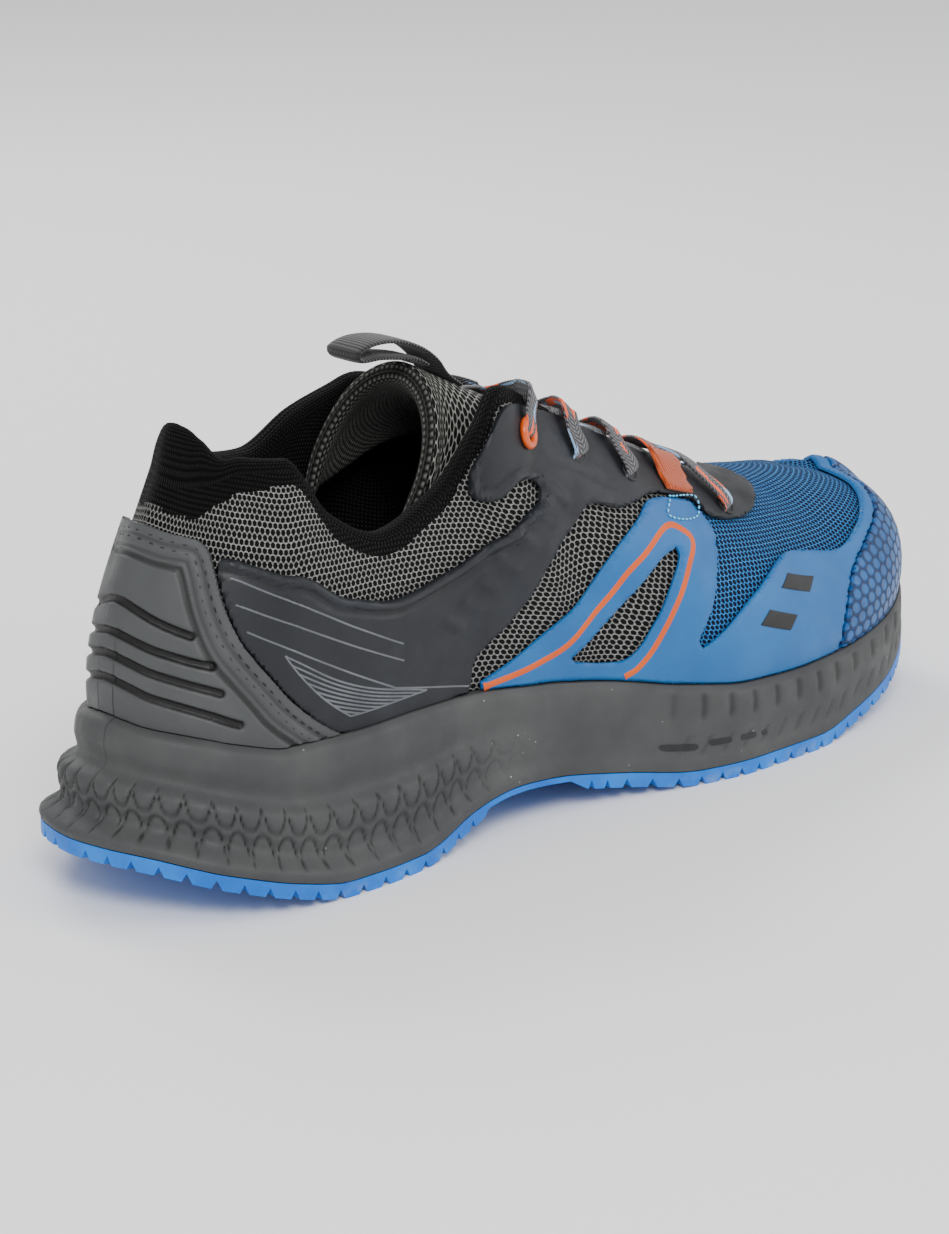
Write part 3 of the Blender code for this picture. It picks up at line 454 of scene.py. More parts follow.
def surface_uv(around, up):
    """Cloth lies on the surface in metres: along the sole, and up the side."""
    return around * EDGE_LENGTH, up * rib_length(round(around, 3))


def curve(points, step):
    """Points about a step apart on a smooth curve through the given ones."""
    made = []
    last = len(points) - 1
    for i in range(last):
        a, b = points[i], points[i + 1]
        before, after = points[max(i - 1, 0)], points[min(i + 2, last)]
        span = (b - a).length
        leave = (b - before) * (span / (span + (a - before).length + 1e-9))
        arrive = (after - a) * (span / (span + (after - b).length + 1e-9))
        count = max(1, round(span / step))
        for k in range(count):
            t = k / count
            made.append(a * (2 * t ** 3 - 3 * t ** 2 + 1) + leave * (t ** 3 - 2 * t ** 2 + t)
                        + b * (3 * t ** 2 - 2 * t ** 3) + arrive * (t ** 3 - t ** 2))
    made.append(points[last])
    return made


FLAT = (EDGE_LENGTH, 0.095)  # metres for a share of the surface along and up, to measure outlines


def flat(points):
    """Points given in shares, in metres on the flat."""
    return [Vector((s * FLAT[0], up * FLAT[1])) for s, up in points]


def shares(points):
    """Points in metres on the flat, back in shares."""
    return [(p.x / FLAT[0], p.y / FLAT[1]) for p in points]


def rounded(outline, step=0.0015, corner=50):
    """Closed outline drawn as smooth curves between its sharp corners."""
    points = flat(outline)
    count = len(points)

    def turn(k):
        before = points[k] - points[k - 1]
        after = points[(k + 1) % count] - points[k]
        return math.degrees(before.angle(after))

    corners = [k for k in range(count) if turn(k) > corner] or [0]
    made = []
    for first, last in zip(corners, corners[1:] + [corners[0] + count]):
        run = [points[k % count] for k in range(first, last + 1)]
        made += curve(run, step)[:-1]
    return shares(made)


def smooth_line(points, step=0.0012):
    """Smooth line through points given in shares."""
    return shares(curve(flat(points), step))


def offset_line(points, distance):
    """Line that runs beside another, in metres to its left."""
    line = flat(points)
    made = []
    for k, point in enumerate(line):
        run = (line[min(k + 1, len(line) - 1)] - line[max(k - 1, 0)]).normalized()
        made.append(point + Vector((-run.y, run.x)) * distance)
    return shares(made)


# Materials: first the helpers that add nodes, then one function for each kind of stuff


def srgb(code):
    """Linear colour of a hex code."""
    parts = [int(code[k:k + 2], 16) / 255 for k in (0, 2, 4)]
    return tuple(p / 12.92 if p <= 0.04045 else ((p + 0.055) / 1.055) ** 2.4 for p in parts) + (1,)


def add(tree, kind, links=None, **settings):
    """Node with its settings, and its sockets linked or set."""
    made = tree.nodes.new(kind)
    for key, value in settings.items():
        setattr(made, key, value)
    for key, value in (links or {}).items():
        if isinstance(value, bpy.types.NodeSocket):
            tree.links.new(value, made.inputs[key])
        else:
            made.inputs[key].default_value = value
    return made


def calc(tree, operation, *values):
    """Result of an operation on numbers or sockets."""
    return add(tree, "ShaderNodeMath", dict(enumerate(values)), operation=operation).outputs[0]


def times(tree, first, second):
    """Product of two numbers or sockets."""
    return calc(tree, "MULTIPLY", first, second)


def vector(tree, operation, *values):
    """Result of an operation on places or directions."""
    made = add(tree, "ShaderNodeVectorMath", dict(enumerate(values)), operation=operation)
    return made.outputs["Value" if operation in ("LENGTH", "DOT_PRODUCT") else "Vector"]


def ramp(tree, value, low, high, start=0.0, end=1.0):
    """Soft step of a value from one level to another."""
    return add(tree, "ShaderNodeMapRange", {0: value, 1: low, 2: high, 3: start, 4: end},
               interpolation_type="SMOOTHSTEP").outputs[0]


def mixed(tree, share, first, second):
    """Blend of two colours."""
    first, second = (srgb(c) if isinstance(c, str) else c for c in (first, second))
    return add(tree, "ShaderNodeMix", {0: share, 6: first, 7: second}, data_type="RGBA").outputs[2]


def cloth(tree):
    """Place on the cloth, in metres along and up."""
    return add(tree, "ShaderNodeUVMap", uv_map="surface").outputs[0]


def in_space(tree):
    """Place in the model's frame, in metres."""
    return add(tree, "ShaderNodeTexCoord").outputs["Object"]


def noise(tree, where, scale, detail=3.0):
    """Cloudy pattern, scale in lumps a metre."""
    return add(tree, "ShaderNodeTexNoise",
               {"Vector": where, "Scale": scale, "Detail": detail}).outputs[0]


def stripes(tree, value, pitch):
    """Wave from 0 to 1 along a length in metres."""
    wave = calc(tree, "SINE", times(tree, value, 2 * math.pi / pitch))
    return calc(tree, "MULTIPLY_ADD", wave, 0.5, 0.5)


def parts_of(tree, where):
    """The three numbers of a place or a colour."""
    return tuple(add(tree, "ShaderNodeSeparateXYZ", {0: where}).outputs)


def relief_here(tree):
    """How far the mesh is moulded up, or sunk where it is below zero, in metres."""
    return add(tree, "ShaderNodeAttribute", attribute_name="relief").outputs["Fac"]


def hexagons(tree, where, pitch, stretch=1.0):
    """Distance from the middle of the nearest of a field of hexagons, as a share of their pitch."""
    size = (pitch, pitch * math.sqrt(3) * stretch, 1)
    place = vector(tree, "DIVIDE", where, size)
    found = []
    for shift in ((0, 0, 0), (0.5, 0.5, 0)):
        cell = vector(tree, "FRACTION", vector(tree, "ADD", place, shift))
        apart = vector(tree, "MULTIPLY", vector(tree, "SUBTRACT", cell, (0.5, 0.5, 0)),
                       (1, math.sqrt(3), 0))
        found.append(vector(tree, "LENGTH", apart))
    return calc(tree, "MINIMUM", *found)


def dress(made, colour, roughness, bumps=(), **constants):
    """Set a material's shader. Bumps are pairs of a height pattern and its depth in metres."""
    tree = made.node_tree
    shader = tree.nodes["Principled BSDF"]
    base = srgb(colour) if isinstance(colour, str) else colour
    values = {"Base Color": base, "Roughness": roughness}
    values.update({key.replace("_", " "): value for key, value in constants.items()})
    normal = None
    for height, depth in bumps:
        sockets = {"Height": height, "Distance": depth, "Strength": 1.0}
        if normal:
            sockets["Normal"] = normal
        normal = add(tree, "ShaderNodeBump", sockets).outputs[0]
    if normal:
        values["Normal"] = normal
    for key, value in values.items():
        if isinstance(value, bpy.types.NodeSocket):
            tree.links.new(value, shader.inputs[key])
        else:
            shader.inputs[key].default_value = value
    return made


def new_material(name):
    """Empty material and its nodes."""
    made = bpy.data.materials.new(name)
    made.use_nodes = True
    return made, made.node_tree


def open_mesh(name, hole, strand, bright, pitch, stretch):
    """Spacer mesh knitted with hexagonal holes: twisted bright yarns over a dark backing, with
    painted highlights along the twist in patches.
    """
    made, tree = new_material(name)
    where = cloth(tree)
    pale_patches = noise(tree, in_space(tree), 900)
    drift = add(tree, "ShaderNodeTexNoise", {"Vector": in_space(tree), "Scale": 180.0}).outputs[1]
    sway = vector(tree, "MULTIPLY", drift, (pitch * 0.3, pitch * 0.3, 0))
    far = hexagons(tree, vector(tree, "ADD", where, sway), pitch, stretch)
    yarn = ramp(tree, far, 0.35, 0.45)
    up = parts_of(tree, where)[1]
    twist = stripes(tree, calc(tree, "ADD", up, times(tree, far, pitch)), pitch / 3)
    # Painted highlight: the yarns are lightened along their twist, more in some patches than
    # others.
    lit = mixed(tree, times(tree, twist, pale_patches), strand, bright)
    height = calc(tree, "ADD", yarn, times(tree, twist, 0.25))
    return dress(made, mixed(tree, yarn, hole, lit), ramp(tree, yarn, 0, 1, 0.95, 0.62),
                 [(height, pitch * 0.22)], Specular_IOR_Level=0.25)


def knit(name, dark, light, pitch, sheen):
    """Fine ribbed knit: rows of small loops that catch the light on their backs."""
    made, tree = new_material(name)
    along, up, _ = parts_of(tree, cloth(tree))
    row = calc(tree, "FLOOR", calc(tree, "DIVIDE", up, pitch))
    loops = stripes(tree, calc(tree, "ADD", along, times(tree, row, pitch / 2)), pitch)
    height = times(tree, stripes(tree, up, pitch), loops)
    fuzz = noise(tree, in_space(tree), 2500)
    share = times(tree, height, ramp(tree, fuzz, 0.2, 0.8, 0.6, 1))
    return dress(made, mixed(tree, share, dark, light), 0.92,
                 [(height, pitch * 0.35), (fuzz, 0.00012)], Sheen_Weight=sheen, Sheen_Roughness=0.5,
                 Specular_IOR_Level=0.1)


def film(name, colour, groove_shade, pale_patches, gloss, grain=0.00005):
    """Fused film: even satin skin with a very fine grain. Raised relief is mixed towards the paler
    colour, and the sunk lines are darkened with painted shade."""
    made, tree = new_material(name)
    where = in_space(tree)
    raised = relief_here(tree)
    cloud = noise(tree, where, 60, 4)
    base = mixed(tree, ramp(tree, cloud, 0.35, 0.75, 0, 0.35), colour, pale_patches)
    base = mixed(tree, ramp(tree, raised, 0.00035, 0.0011, 0, 0.75), base, pale_patches)
    # Painted shade: the sunk lines of the relief are darkened.
    base = mixed(tree, ramp(tree, raised, -0.0001, -0.0008), base, groove_shade)
    rough = ramp(tree, noise(tree, where, 140), 0.3, 0.7, gloss - 0.06, gloss + 0.08)
    return dress(made, base, rough, [(noise(tree, where, 5200, 2), grain),
                                     (noise(tree, where, 230), 0.00006)], Specular_IOR_Level=0.38)


def plain(name, colour, light, roughness, grain, scale=1500, **constants):
    """Moulded or cut piece with a fine grain and slight clouding."""
    made, tree = new_material(name)
    where = in_space(tree)
    base = mixed(tree, ramp(tree, noise(tree, where, 90), 0.3, 0.75), colour, light)
    return dress(made, base, roughness, [(noise(tree, where, scale), grain)], **constants)


# Silver-grey hexagonal mesh over black of the collar and the rear windows
MESH_GREY = open_mesh("spacer_mesh_grey", "010101", "5C5C5A", "B0B0AC",
                      pitch=0.0021, stretch=0.86)
# Light-blue mesh over navy of the vamp
MESH_BLUE = open_mesh("spacer_mesh_blue", "020A24", "0E5CA4", "46A8E8",
                      pitch=0.0018, stretch=0.9)
# Coarser silver mesh that wraps the tongue's outside
MESH_TONGUE = open_mesh("spacer_mesh_tongue", "020202", "686864", "CACAC2",
                        pitch=0.0026, stretch=1.05)
# Black ribbed lining of the collar roll and the inside
KNIT_BLACK = knit("lining_knit_black", "000000", "131312", pitch=0.0014, sheen=0.03)
# Grey fine knit inside the tongue, paler at its rim
KNIT_GREY = knit("lining_knit_grey", "080808", "72726D", pitch=0.0013, sheen=0.1)
# Dark slate film of the quarter and eyestay, satin, raised rims a little paler and sunk lines
# darkened with painted shade
FILM_DARK = film("fused_film_slate", "101319", "050608", "20242C", gloss=0.48)
# Mid-blue film of the vamp
FILM_BLUE = film("fused_film_blue", "0C5A98", "062C50", "1C70B0", gloss=0.44)
# Warm grey moulded counter, matt with a soft shine, sunk lines painted nearly black as shade
COUNTER_PLASTIC = film("moulded_counter", "3D3F40", "080808", "4C4E4F",
                       gloss=0.48, grain=0.00007)
# Bright orange rings: smooth moulded plastic
ORANGE_PLASTIC = plain("moulded_plastic_orange", "C84600", "D45400",
                       roughness=0.35, grain=0.00002, Coat_Weight=0.3)
# Printed orange stripe: even, a little satin
ORANGE_FILM = plain("printed_film_orange", "C84A00", "D05600", roughness=0.6, grain=0.00002)
# Thin silver print lines on the quarter
SILVER_PRINT = plain("printed_silver", "4A4D52", "5E6166", roughness=0.4, grain=0.00002)
# Dark thread in the stitched channels
THREAD_DARK = plain("sewing_thread_dark", "0C0C0D", "242426",
                    roughness=0.8, grain=0.00004, scale=4000)
# Light-blue thread of the keeper's box stitch
THREAD_BLUE = plain("sewing_thread_blue", "63BCE8", "93D8F8",
                    roughness=0.7, grain=0.00004, scale=4000)
# Black for the punched edges of the lace holes and the dark flags, and painted shade: the discs
# that fill the lace holes and the pads over the sidewall's slots
BLACK_AND_PAINTED_SHADE = plain("black_edges_and_painted_shade", "0A0A0B", "1C1D20", roughness=0.6, grain=0.00003)


def foam_material():
    """Moulded grey foam: fine pebble, painted shade in the hollows, and a few pale specks of dust
    and glue.
    """
    made, tree = new_material("moulded_foam_grey")
    where = in_space(tree)
    raised = relief_here(tree)
    cloud = noise(tree, where, 45, 5)
    base = mixed(tree, ramp(tree, cloud, 0.3, 0.75), "3A3B3C", "454646")
    # Painted shade: the sunk cups and grooves of the relief are darkened towards near black.
    base = mixed(tree, ramp(tree, raised, 0, -0.0009, 0, 0.85), base, "141415")
    apart = add(tree, "ShaderNodeTexVoronoi", {"Vector": where, "Scale": 330.0}).outputs["Distance"]
    specks = times(tree, ramp(tree, apart, 0.11, 0.05), ramp(tree, cloud, 0.55, 0.68))
    base = mixed(tree, times(tree, specks, 0.7), base, "A9A79C")
    rough = ramp(tree, noise(tree, where, 160), 0.3, 0.7, 0.5, 0.68)
    return dress(made, base, rough, [(noise(tree, where, 2600, 2), 0.00009),
                                     (noise(tree, where, 300), 0.00006)], Specular_IOR_Level=0.3)


def rubber_material():
    """Bright blue outsole rubber: matt, slightly clouded, faint scuffs near the floor."""
    made, tree = new_material("moulded_rubber_blue")
    where = in_space(tree)
    base = mixed(tree, ramp(tree, noise(tree, where, 70, 4), 0.3, 0.75), "0060BE", "0678D6")
    near_floor = ramp(tree, parts_of(tree, where)[2], 0.005, 0.0)
    dust = times(tree, near_floor, ramp(tree, noise(tree, where, 220), 0.45, 0.7))
    base = mixed(tree, times(tree, dust, 0.3), base, "8FA9BD")
    return dress(made, base, 0.5, [(noise(tree, where, 1800), 0.00008)], Specular_IOR_Level=0.3)


def honeycomb_material():
    """Blue toe film moulded with raised hexagons between thin dark lines."""
    made, tree = new_material("moulded_film_honeycomb")
    where = cloth(tree)
    far = hexagons(tree, where, 0.0044)
    edge = ramp(tree, far, 0.40, 0.47)
    dome = ramp(tree, far, 0.30, 0.47, 1, 0)
    cloud = noise(tree, in_space(tree), 70, 4)
    base = mixed(tree, ramp(tree, cloud, 0.3, 0.75), "0A4880", "10589A")
    base = mixed(tree, times(tree, edge, 0.9), base, "031B40")
    grain = noise(tree, in_space(tree), 4200)
    return dress(made, base, ramp(tree, edge, 0, 1, 0.38, 0.6), [(dome, 0.0006), (grain, 0.00004)],
                 Specular_IOR_Level=0.4)


def braid_material():
    """Flat lace: herringbone of grey yarns with orange flecks, and with pale blue flecks of painted
    highlight.
    """
    made, tree = new_material("braided_lace")
    where = cloth(tree)
    along, across, _ = parts_of(tree, where)
    slant = calc(tree, "ABSOLUTE", across)
    yarns = stripes(tree, calc(tree, "ADD", along, slant), 0.0013)
    cords = stripes(tree, across, 0.0011)
    height = times(tree, yarns, calc(tree, "MULTIPLY_ADD", cords, 0.6, 0.4))
    cells = vector(tree, "MULTIPLY", where, (160, 900, 1))
    patch = add(tree, "ShaderNodeTexVoronoi", {"Vector": cells, "Scale": 1.0}).outputs["Color"]
    red, green, _ = parts_of(tree, patch)
    base = mixed(tree, height, "1C1C1E", "6A6A70")
    base = mixed(tree, calc(tree, "GREATER_THAN", red, 0.86), base, "F25410")
    # Painted highlight: pale blue flecks scattered over the lace.
    base = mixed(tree, calc(tree, "GREATER_THAN", green, 0.95), base, "90B4DC")
    return dress(made, base, 0.85, [(height, 0.0003)], Sheen_Weight=0.2)


def webbing_material(name, dark, light):
    """Woven tape: tight ribs across it with a fine weave on their backs."""
    made, tree = new_material(name)
    along, across, _ = parts_of(tree, cloth(tree))
    ribs = stripes(tree, along, 0.0011)
    weave = stripes(tree, calc(tree, "ADD", across, times(tree, along, 0.5)), 0.0008)
    height = times(tree, ribs, calc(tree, "MULTIPLY_ADD", weave, 0.4, 0.6))
    return dress(made, mixed(tree, height, dark, light), 0.82, [(height, 0.00022)],
                 Sheen_Weight=0.2)


def footbed_material():
    """Brushed textile of the footbed, nearly black."""
    made, tree = new_material("brushed_textile_black")
    fuzz = noise(tree, in_space(tree), 1800)
    return dress(made, mixed(tree, fuzz, "0B0B0C", "242426"), 0.95, [(fuzz, 0.0002)],
                 Sheen_Weight=0.4)


FOAM = foam_material()
RUBBER = rubber_material()
HONEYCOMB = honeycomb_material()
BRAID = braid_material()
FOOTBED = footbed_material()
WEBBING_BLACK = webbing_material("woven_tape_black", "020202", "181818")
WEBBING_ORANGE = webbing_material("woven_tape_orange", "8C3400", "CC5000")


# Meshes: helpers that the pieces share. A ridge is a search tree of its lines, how far beside them
# it runs, its half width and its height, which is below zero for a groove.
Ridge = namedtuple("Ridge", "tree beside half height")
WELD = 4e-6  # points nearer than this are one
EDGE_DROP = 0.45  # share of its thickness that a film loses at its cut edge
FILM_CELL = (0.005, 0.0125)  # faces of a film, in shares along and up


def piece(name, bm, paints, replaces=(), sharp=40):
    """Hang a mesh in the scene, in the model's frame, with its materials."""
    bmesh.ops.translate(bm, verts=bm.verts, vec=-MIDDLE)
    mesh = bpy.data.meshes.new(name)
    bm.to_mesh(mesh)
    bm.free()
    for paint in paints:
        mesh.materials.append(paint)
    mesh.shade_smooth()
    mesh.set_sharp_from_angle(angle=math.radians(sharp))
    made = bpy.data.objects.new(name, mesh)
    bpy.context.scene.collection.objects.link(made)
    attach(made, "root")
    if replaces:
        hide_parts(*replaces)
    return made


def new_bmesh():
    """Empty mesh with room for the cloth's coordinates and the moulded relief."""
    bm = bmesh.new()
    bm.loops.layers.uv.new("surface")
    bm.verts.layers.float.new("relief")
    return bm


def drape(bm, u_count, v_count, place, uv, paint=None):
    """Grid whose points are placed by a function of two shares. Place gives a point, or a point
    and the relief there; uv gives the cloth's coordinates, and paint the material's number."""
    layer = bm.loops.layers.uv["surface"]
    relief = bm.verts.layers.float["relief"]
    made = bmesh.ops.create_grid(bm, x_segments=u_count, y_segments=v_count, size=1)["verts"]
    faces = {face for vert in made for face in vert.link_faces}
    for face in faces:
        middle = face.calc_center_median()
        if paint:
            face.material_index = paint((middle.x + 1) / 2, (middle.y + 1) / 2)
        for loop in face.loops:
            loop[layer].uv = uv((loop.vert.co.x + 1) / 2, (loop.vert.co.y + 1) / 2)
    for vert in made:
        found = place((vert.co.x + 1) / 2, (vert.co.y + 1) / 2)
        if isinstance(found, tuple):
            found, vert[relief] = found
        vert.co = found


def weld(bm, recalc=True):
    """Join points that lie together, and turn the faces outward."""
    bmesh.ops.remove_doubles(bm, verts=bm.verts, dist=WELD)
    if recalc:
        bmesh.ops.recalc_face_normals(bm, faces=bm.faces)


def nearest(lines, step=0.0008):
    """Search tree of the points on the surface along some lines given in shares."""
    points = [on_skin(s, up) for line in lines for s, up in smooth_line(line, step)]
    tree = KDTree(len(points))
    for k, point in enumerate(points):
        tree.insert(point, k)
    tree.balance()
    return tree


def relief_of(ridges, point):
    """Height of all the moulded ridges at a point."""
    total = 0.0
    for ridge in ridges:
        apart = ridge.tree.find(point)[2]
        total += ridge.height * math.exp(-((apart - ridge.beside) / ridge.half) ** 4)
    return total


def panel(name, outlines, thickness, proud, paint, replaces=(), ridges=(), cell=FILM_CELL,
          lift_at=None):
    """Sheet that follows the upper. The first outline is its edge and any other a window. Lift_at
    gives how much further it stands off at a place."""
    bm = new_bmesh()
    for outline in outlines:
        verts = [bm.verts.new((around, up, 0)) for around, up in rounded(outline)]
        for near, far in zip(verts, verts[1:] + verts[:1]):
            bm.edges.new((near, far))
    bmesh.ops.triangle_fill(bm, edges=bm.edges[:], use_beauty=True, normal=(0, 0, 1))
    low = [min(v.co[axis] for v in bm.verts) for axis in (0, 1)]
    high = [max(v.co[axis] for v in bm.verts) for axis in (0, 1)]
    for axis in (0, 1):
        normal = (1, 0, 0) if axis == 0 else (0, 1, 0)
        for k in range(math.ceil(low[axis] / cell[axis]), math.floor(high[axis] / cell[axis]) + 1):
            place = (k * cell[axis], 0, 0) if axis == 0 else (0, k * cell[axis], 0)
            bmesh.ops.bisect_plane(bm, geom=bm.verts[:] + bm.edges[:] + bm.faces[:],
                                   plane_co=place, plane_no=normal, dist=1e-5)

    def on_cut(edge):
        a, b = (v.co for v in edge.verts)
        return any(abs(a[x] - b[x]) < 2e-5 and abs(a[x] / cell[x] - round(a[x] / cell[x])) < 0.01
                   for x in (0, 1))

    spare = [e for e in bm.edges if len(e.link_faces) == 2 and not on_cut(e)]
    bmesh.ops.dissolve_edges(bm, edges=spare, use_verts=False)
    layer = bm.loops.layers.uv["surface"]
    relief = bm.verts.layers.float["relief"]
    edge_layer = bm.verts.layers.float.new("edge")
    for edge in bm.edges:
        on_seam = all(abs(abs(vert.co.x) - 1) < 1e-4 for vert in edge.verts)
        if len(edge.link_faces) == 1 and not on_seam:
            for vert in edge.verts:
                vert[edge_layer] = 1.0
    for face in bm.faces:
        for loop in face.loops:
            loop[layer].uv = surface_uv(loop.vert.co.x, loop.vert.co.y)
    made = bmesh.ops.extrude_face_region(bm, geom=bm.faces[:])
    raised = {v for v in made["geom"] if isinstance(v, bmesh.types.BMVert)}
    for vert in bm.verts:
        around, up = vert.co.x, vert.co.y
        point, out = spot(around, up)
        height = proud
        if vert in raised:
            vert[relief] = relief_of(ridges, point)
            height += thickness * (1 - EDGE_DROP * vert[edge_layer]) + vert[relief]
        if lift_at:
            height += lift_at(around, up)
        vert.co = point + out * height
    bmesh.ops.recalc_face_normals(bm, faces=bm.faces)
    return piece(name, bm, [paint], replaces)


def ribbons(name, lines, width, proud, height, paint, step=0.0015, crown=4):
    """Narrow raised bands along lines given in shares."""
    bm = new_bmesh()
    for line in lines:
        path = [spot(s, up) for s, up in smooth_line(line, step)]
        count = len(path) - 1

        def place(u, v):
            k = round(u * count)
            point, out = path[k]
            run = path[min(k + 1, count)][0] - path[max(k - 1, 0)][0]
            across = out.cross(run).normalized()
            c = 2 * v - 1
            arch = math.sqrt(max(1 - c * c, 0))
            return point + across * (c * width / 2) + out * (proud + height * arch)

        drape(bm, count, crown, place, lambda u, v: (u * count * step, v * width))
    return piece(name, bm, [paint])


def stitches(name, lines, pitch, length, width, proud, paint):
    """Run of single stitches along lines given in shares."""
    bm = new_bmesh()
    for line in lines:
        path = [spot(s, up) for s, up in smooth_line(line, pitch / 6)]
        travelled, due = 0.0, 0.0
        for (a, out), (b, _) in zip(path, path[1:]):
            travelled += (b - a).length
            if travelled < due:
                continue
            due += pitch
            run = (b - a).normalized()
            frame_of = Matrix((run, out.cross(run).normalized(), out)).transposed().to_4x4()
            size = Matrix.Diagonal((length / 2, width / 2, width / 2, 1))
            bmesh.ops.create_uvsphere(bm, u_segments=6, v_segments=5, radius=1,
                                      matrix=Matrix.Translation(a + out * proud) @ frame_of @ size)
    return piece(name, bm, [paint])


def loop_ring(bm, place, out, radius, bar, flatten=1.0):
    """Round ring lying on the surface."""
    turn = out.to_track_quat("Z", "Y").to_matrix()

    def at(u, v):
        angle, bend = 2 * math.pi * u, 2 * math.pi * v
        spoke = turn @ Vector((math.cos(angle), math.sin(angle), 0))
        rise = out * bar * flatten * math.sin(bend)
        return place + spoke * (radius + bar * math.cos(bend)) + rise

    drape(bm, 36, 12, at, lambda u, v: (u * radius * 6, v * bar * 6))


def band(bm, path, outs, width, thickness, start=0.0):
    """Flat band with round edges along a path; outs are its upper side's directions."""
    count = len(path) - 1
    lengths = [start]
    for a, b in zip(path, path[1:]):
        lengths.append(lengths[-1] + (b - a).length)

    def at(u, v):
        k = round(u * count)
        run = (path[min(k + 1, count)] - path[max(k - 1, 0)]).normalized()
        across = outs[k].cross(run).normalized()
        out = run.cross(across)
        c, s = math.cos(2 * math.pi * v), math.sin(2 * math.pi * v)
        aside = math.copysign(abs(c) ** 0.6, c) * width / 2
        rise = math.copysign(abs(s) ** 0.7, s) * thickness / 2
        return path[k] + across * aside + out * rise

    drape(bm, count, 16, at, lambda u, v: (lengths[round(u * count)],
                                           math.cos(2 * math.pi * v) * width / 2))


# The upper: shell, padded roll and lining. The black roll's lower edge, as station and up:
LINING_LOW = [(0.0, 0.90), (0.05, 0.88), (0.075, 0.875), (0.11, 0.92), (0.2, 0.94), (0.32, 0.93),
              (0.40, 0.945), (0.44, 0.96), (0.50, 0.97)]
THROAT_LINING = 0.985  # share up the side from which the throat's edge is black
MESH_CHANGES = (0.600, 0.625, 0.670)  # where grey mesh gives way to blue, low, halfway and high
TAB_FLAT = 0.022  # stations over which the heel tab keeps its full height
ROUND_STEPS = 400  # faces of the shell and the roll round the shoe
INSIDE_ROWS = 30


def lining_low(station):
    """Share up the side at which the black roll begins."""
    for (a, low), (b, high) in zip(LINING_LOW, LINING_LOW[1:]):
        if station <= b:
            return low + (high - low) * smooth_step(a, b, station)
    return LINING_LOW[-1][1]


def wall_thickness(station, up):
    """Fabric low on the shoe, and padding towards the collar."""
    pad = follow(FULLNESS, "pad", station) * COLLAR_PAD
    return WALL + (pad - WALL) * smooth_step(0.45, 1, up)


def side_and_station(around):
    """Side and station of a place round the shoe, from 0 at the heel to 2 there again."""
    return (LATERAL, around) if around <= 1 else (MEDIAL, 2 - around)


def make_upper():
    """Fabric shell: mesh outside, a padded black roll along the collar and throat, knit inside."""
    bm = new_bmesh()

    def paint_outside(u, v):
        station = side_and_station(2 * u)[1]
        low, half, high = MESH_CHANGES
        change = low + (half - low) * smooth_step(0.25, 0.4, v)
        change += (high - half) * smooth_step(0.55, 0.62, v)
        if station < change:
            return 2 if v > lining_low(station) else 0
        return 1 if v < THROAT_LINING or station > THROAT_END else 2

    drape(bm, ROUND_STEPS, 70, lambda u, v: on_skin(2 * u, v), lambda u, v: surface_uv(2 * u, v),
          paint_outside)

    @lru_cache(maxsize=None)
    def roll_frame(u):
        side, station = side_and_station(2 * u)
        station = min(station, THROAT_END)
        around = around_of(side, station)
        share = follow(FULLNESS, "roll", max(station - TAB_FLAT, 0))
        outer = on_skin(around, 1)
        inner = on_skin(around, 1, -wall_thickness(station, 1))
        rise = (outer - on_skin(around, 0.96)).normalized() * share * HEEL_TAB
        swell = 0.05 + 0.45 * share ** 2
        return (outer + inner) / 2, outer - inner, rise, swell

    def roll(u, v):
        middle, across, rise, swell = roll_frame(u)
        turn = math.pi * v
        c, s = math.cos(turn), math.sin(turn)
        broad = math.copysign(abs(c) ** 0.62, c)
        return middle + across * (0.5 * broad + swell * s) + rise * s ** 0.8

    def roll_uv(u, v):
        share = follow(FULLNESS, "roll", side_and_station(2 * u)[1])
        return 2 * u * EDGE_LENGTH, v * (0.012 + 0.024 * share)

    drape(bm, ROUND_STEPS, 16, roll, roll_uv, lambda u, v: 2)

    @lru_cache(maxsize=None)
    def thicknesses(station):
        return [wall_thickness(station, k / INSIDE_ROWS) for k in range(INSIDE_ROWS + 1)]

    def inside(u, v):
        side, station = side_and_station(2 * u)
        thickness = thicknesses(round(station, 4))[INSIDE_ROWS - round(v * INSIDE_ROWS)]
        return on_skin(around_of(side, station), 1 - v, -thickness)

    drape(bm, 300, INSIDE_ROWS, inside, lambda u, v: surface_uv(2 * u, 1 - v), lambda u, v: 2)
    weld(bm, recalc=False)
    piece("upper_shell", bm, [MESH_GREY, MESH_BLUE, KNIT_BLACK], ["upper"], sharp=60)


# The midsole. Heights on its sidewall, t, are shares from the parting up to the rim.
WALL_TABLE = SIDEWALL[::-1]
WALL_SHARE, LAND_SHARE, BED_MIDDLE = 0.8, 0.1, 0.95  # shares of its grid's rows
UPPER_CUPS, LOWER_CUPS = (0.37, 0.56), (0.14, 0.36)  # heights of the heel's two rows of cups
SEAM_HALF = 0.034  # half width of the line between two cups
CUP_DEPTH = 0.0010
FORE_RIB_PITCH = 0.0098
FORE_RIB_DEPTH, FORE_LOW_DEPTH = 0.0006, 0.00035
# Dark pads low on the forefoot's sidewall, painted shade for the slots pressed into it: first and
# last station, and height over the floor
SLOTS = [(0.554, 0.588, 0.0118), (0.598, 0.622, 0.0112), (0.631, 0.650, 0.0108),
         (0.657, 0.664, 0.0104)]
SLOT_HALF = 0.036  # half height of a pad, as a share of the sidewall
SLOT_PROUD = 0.00015


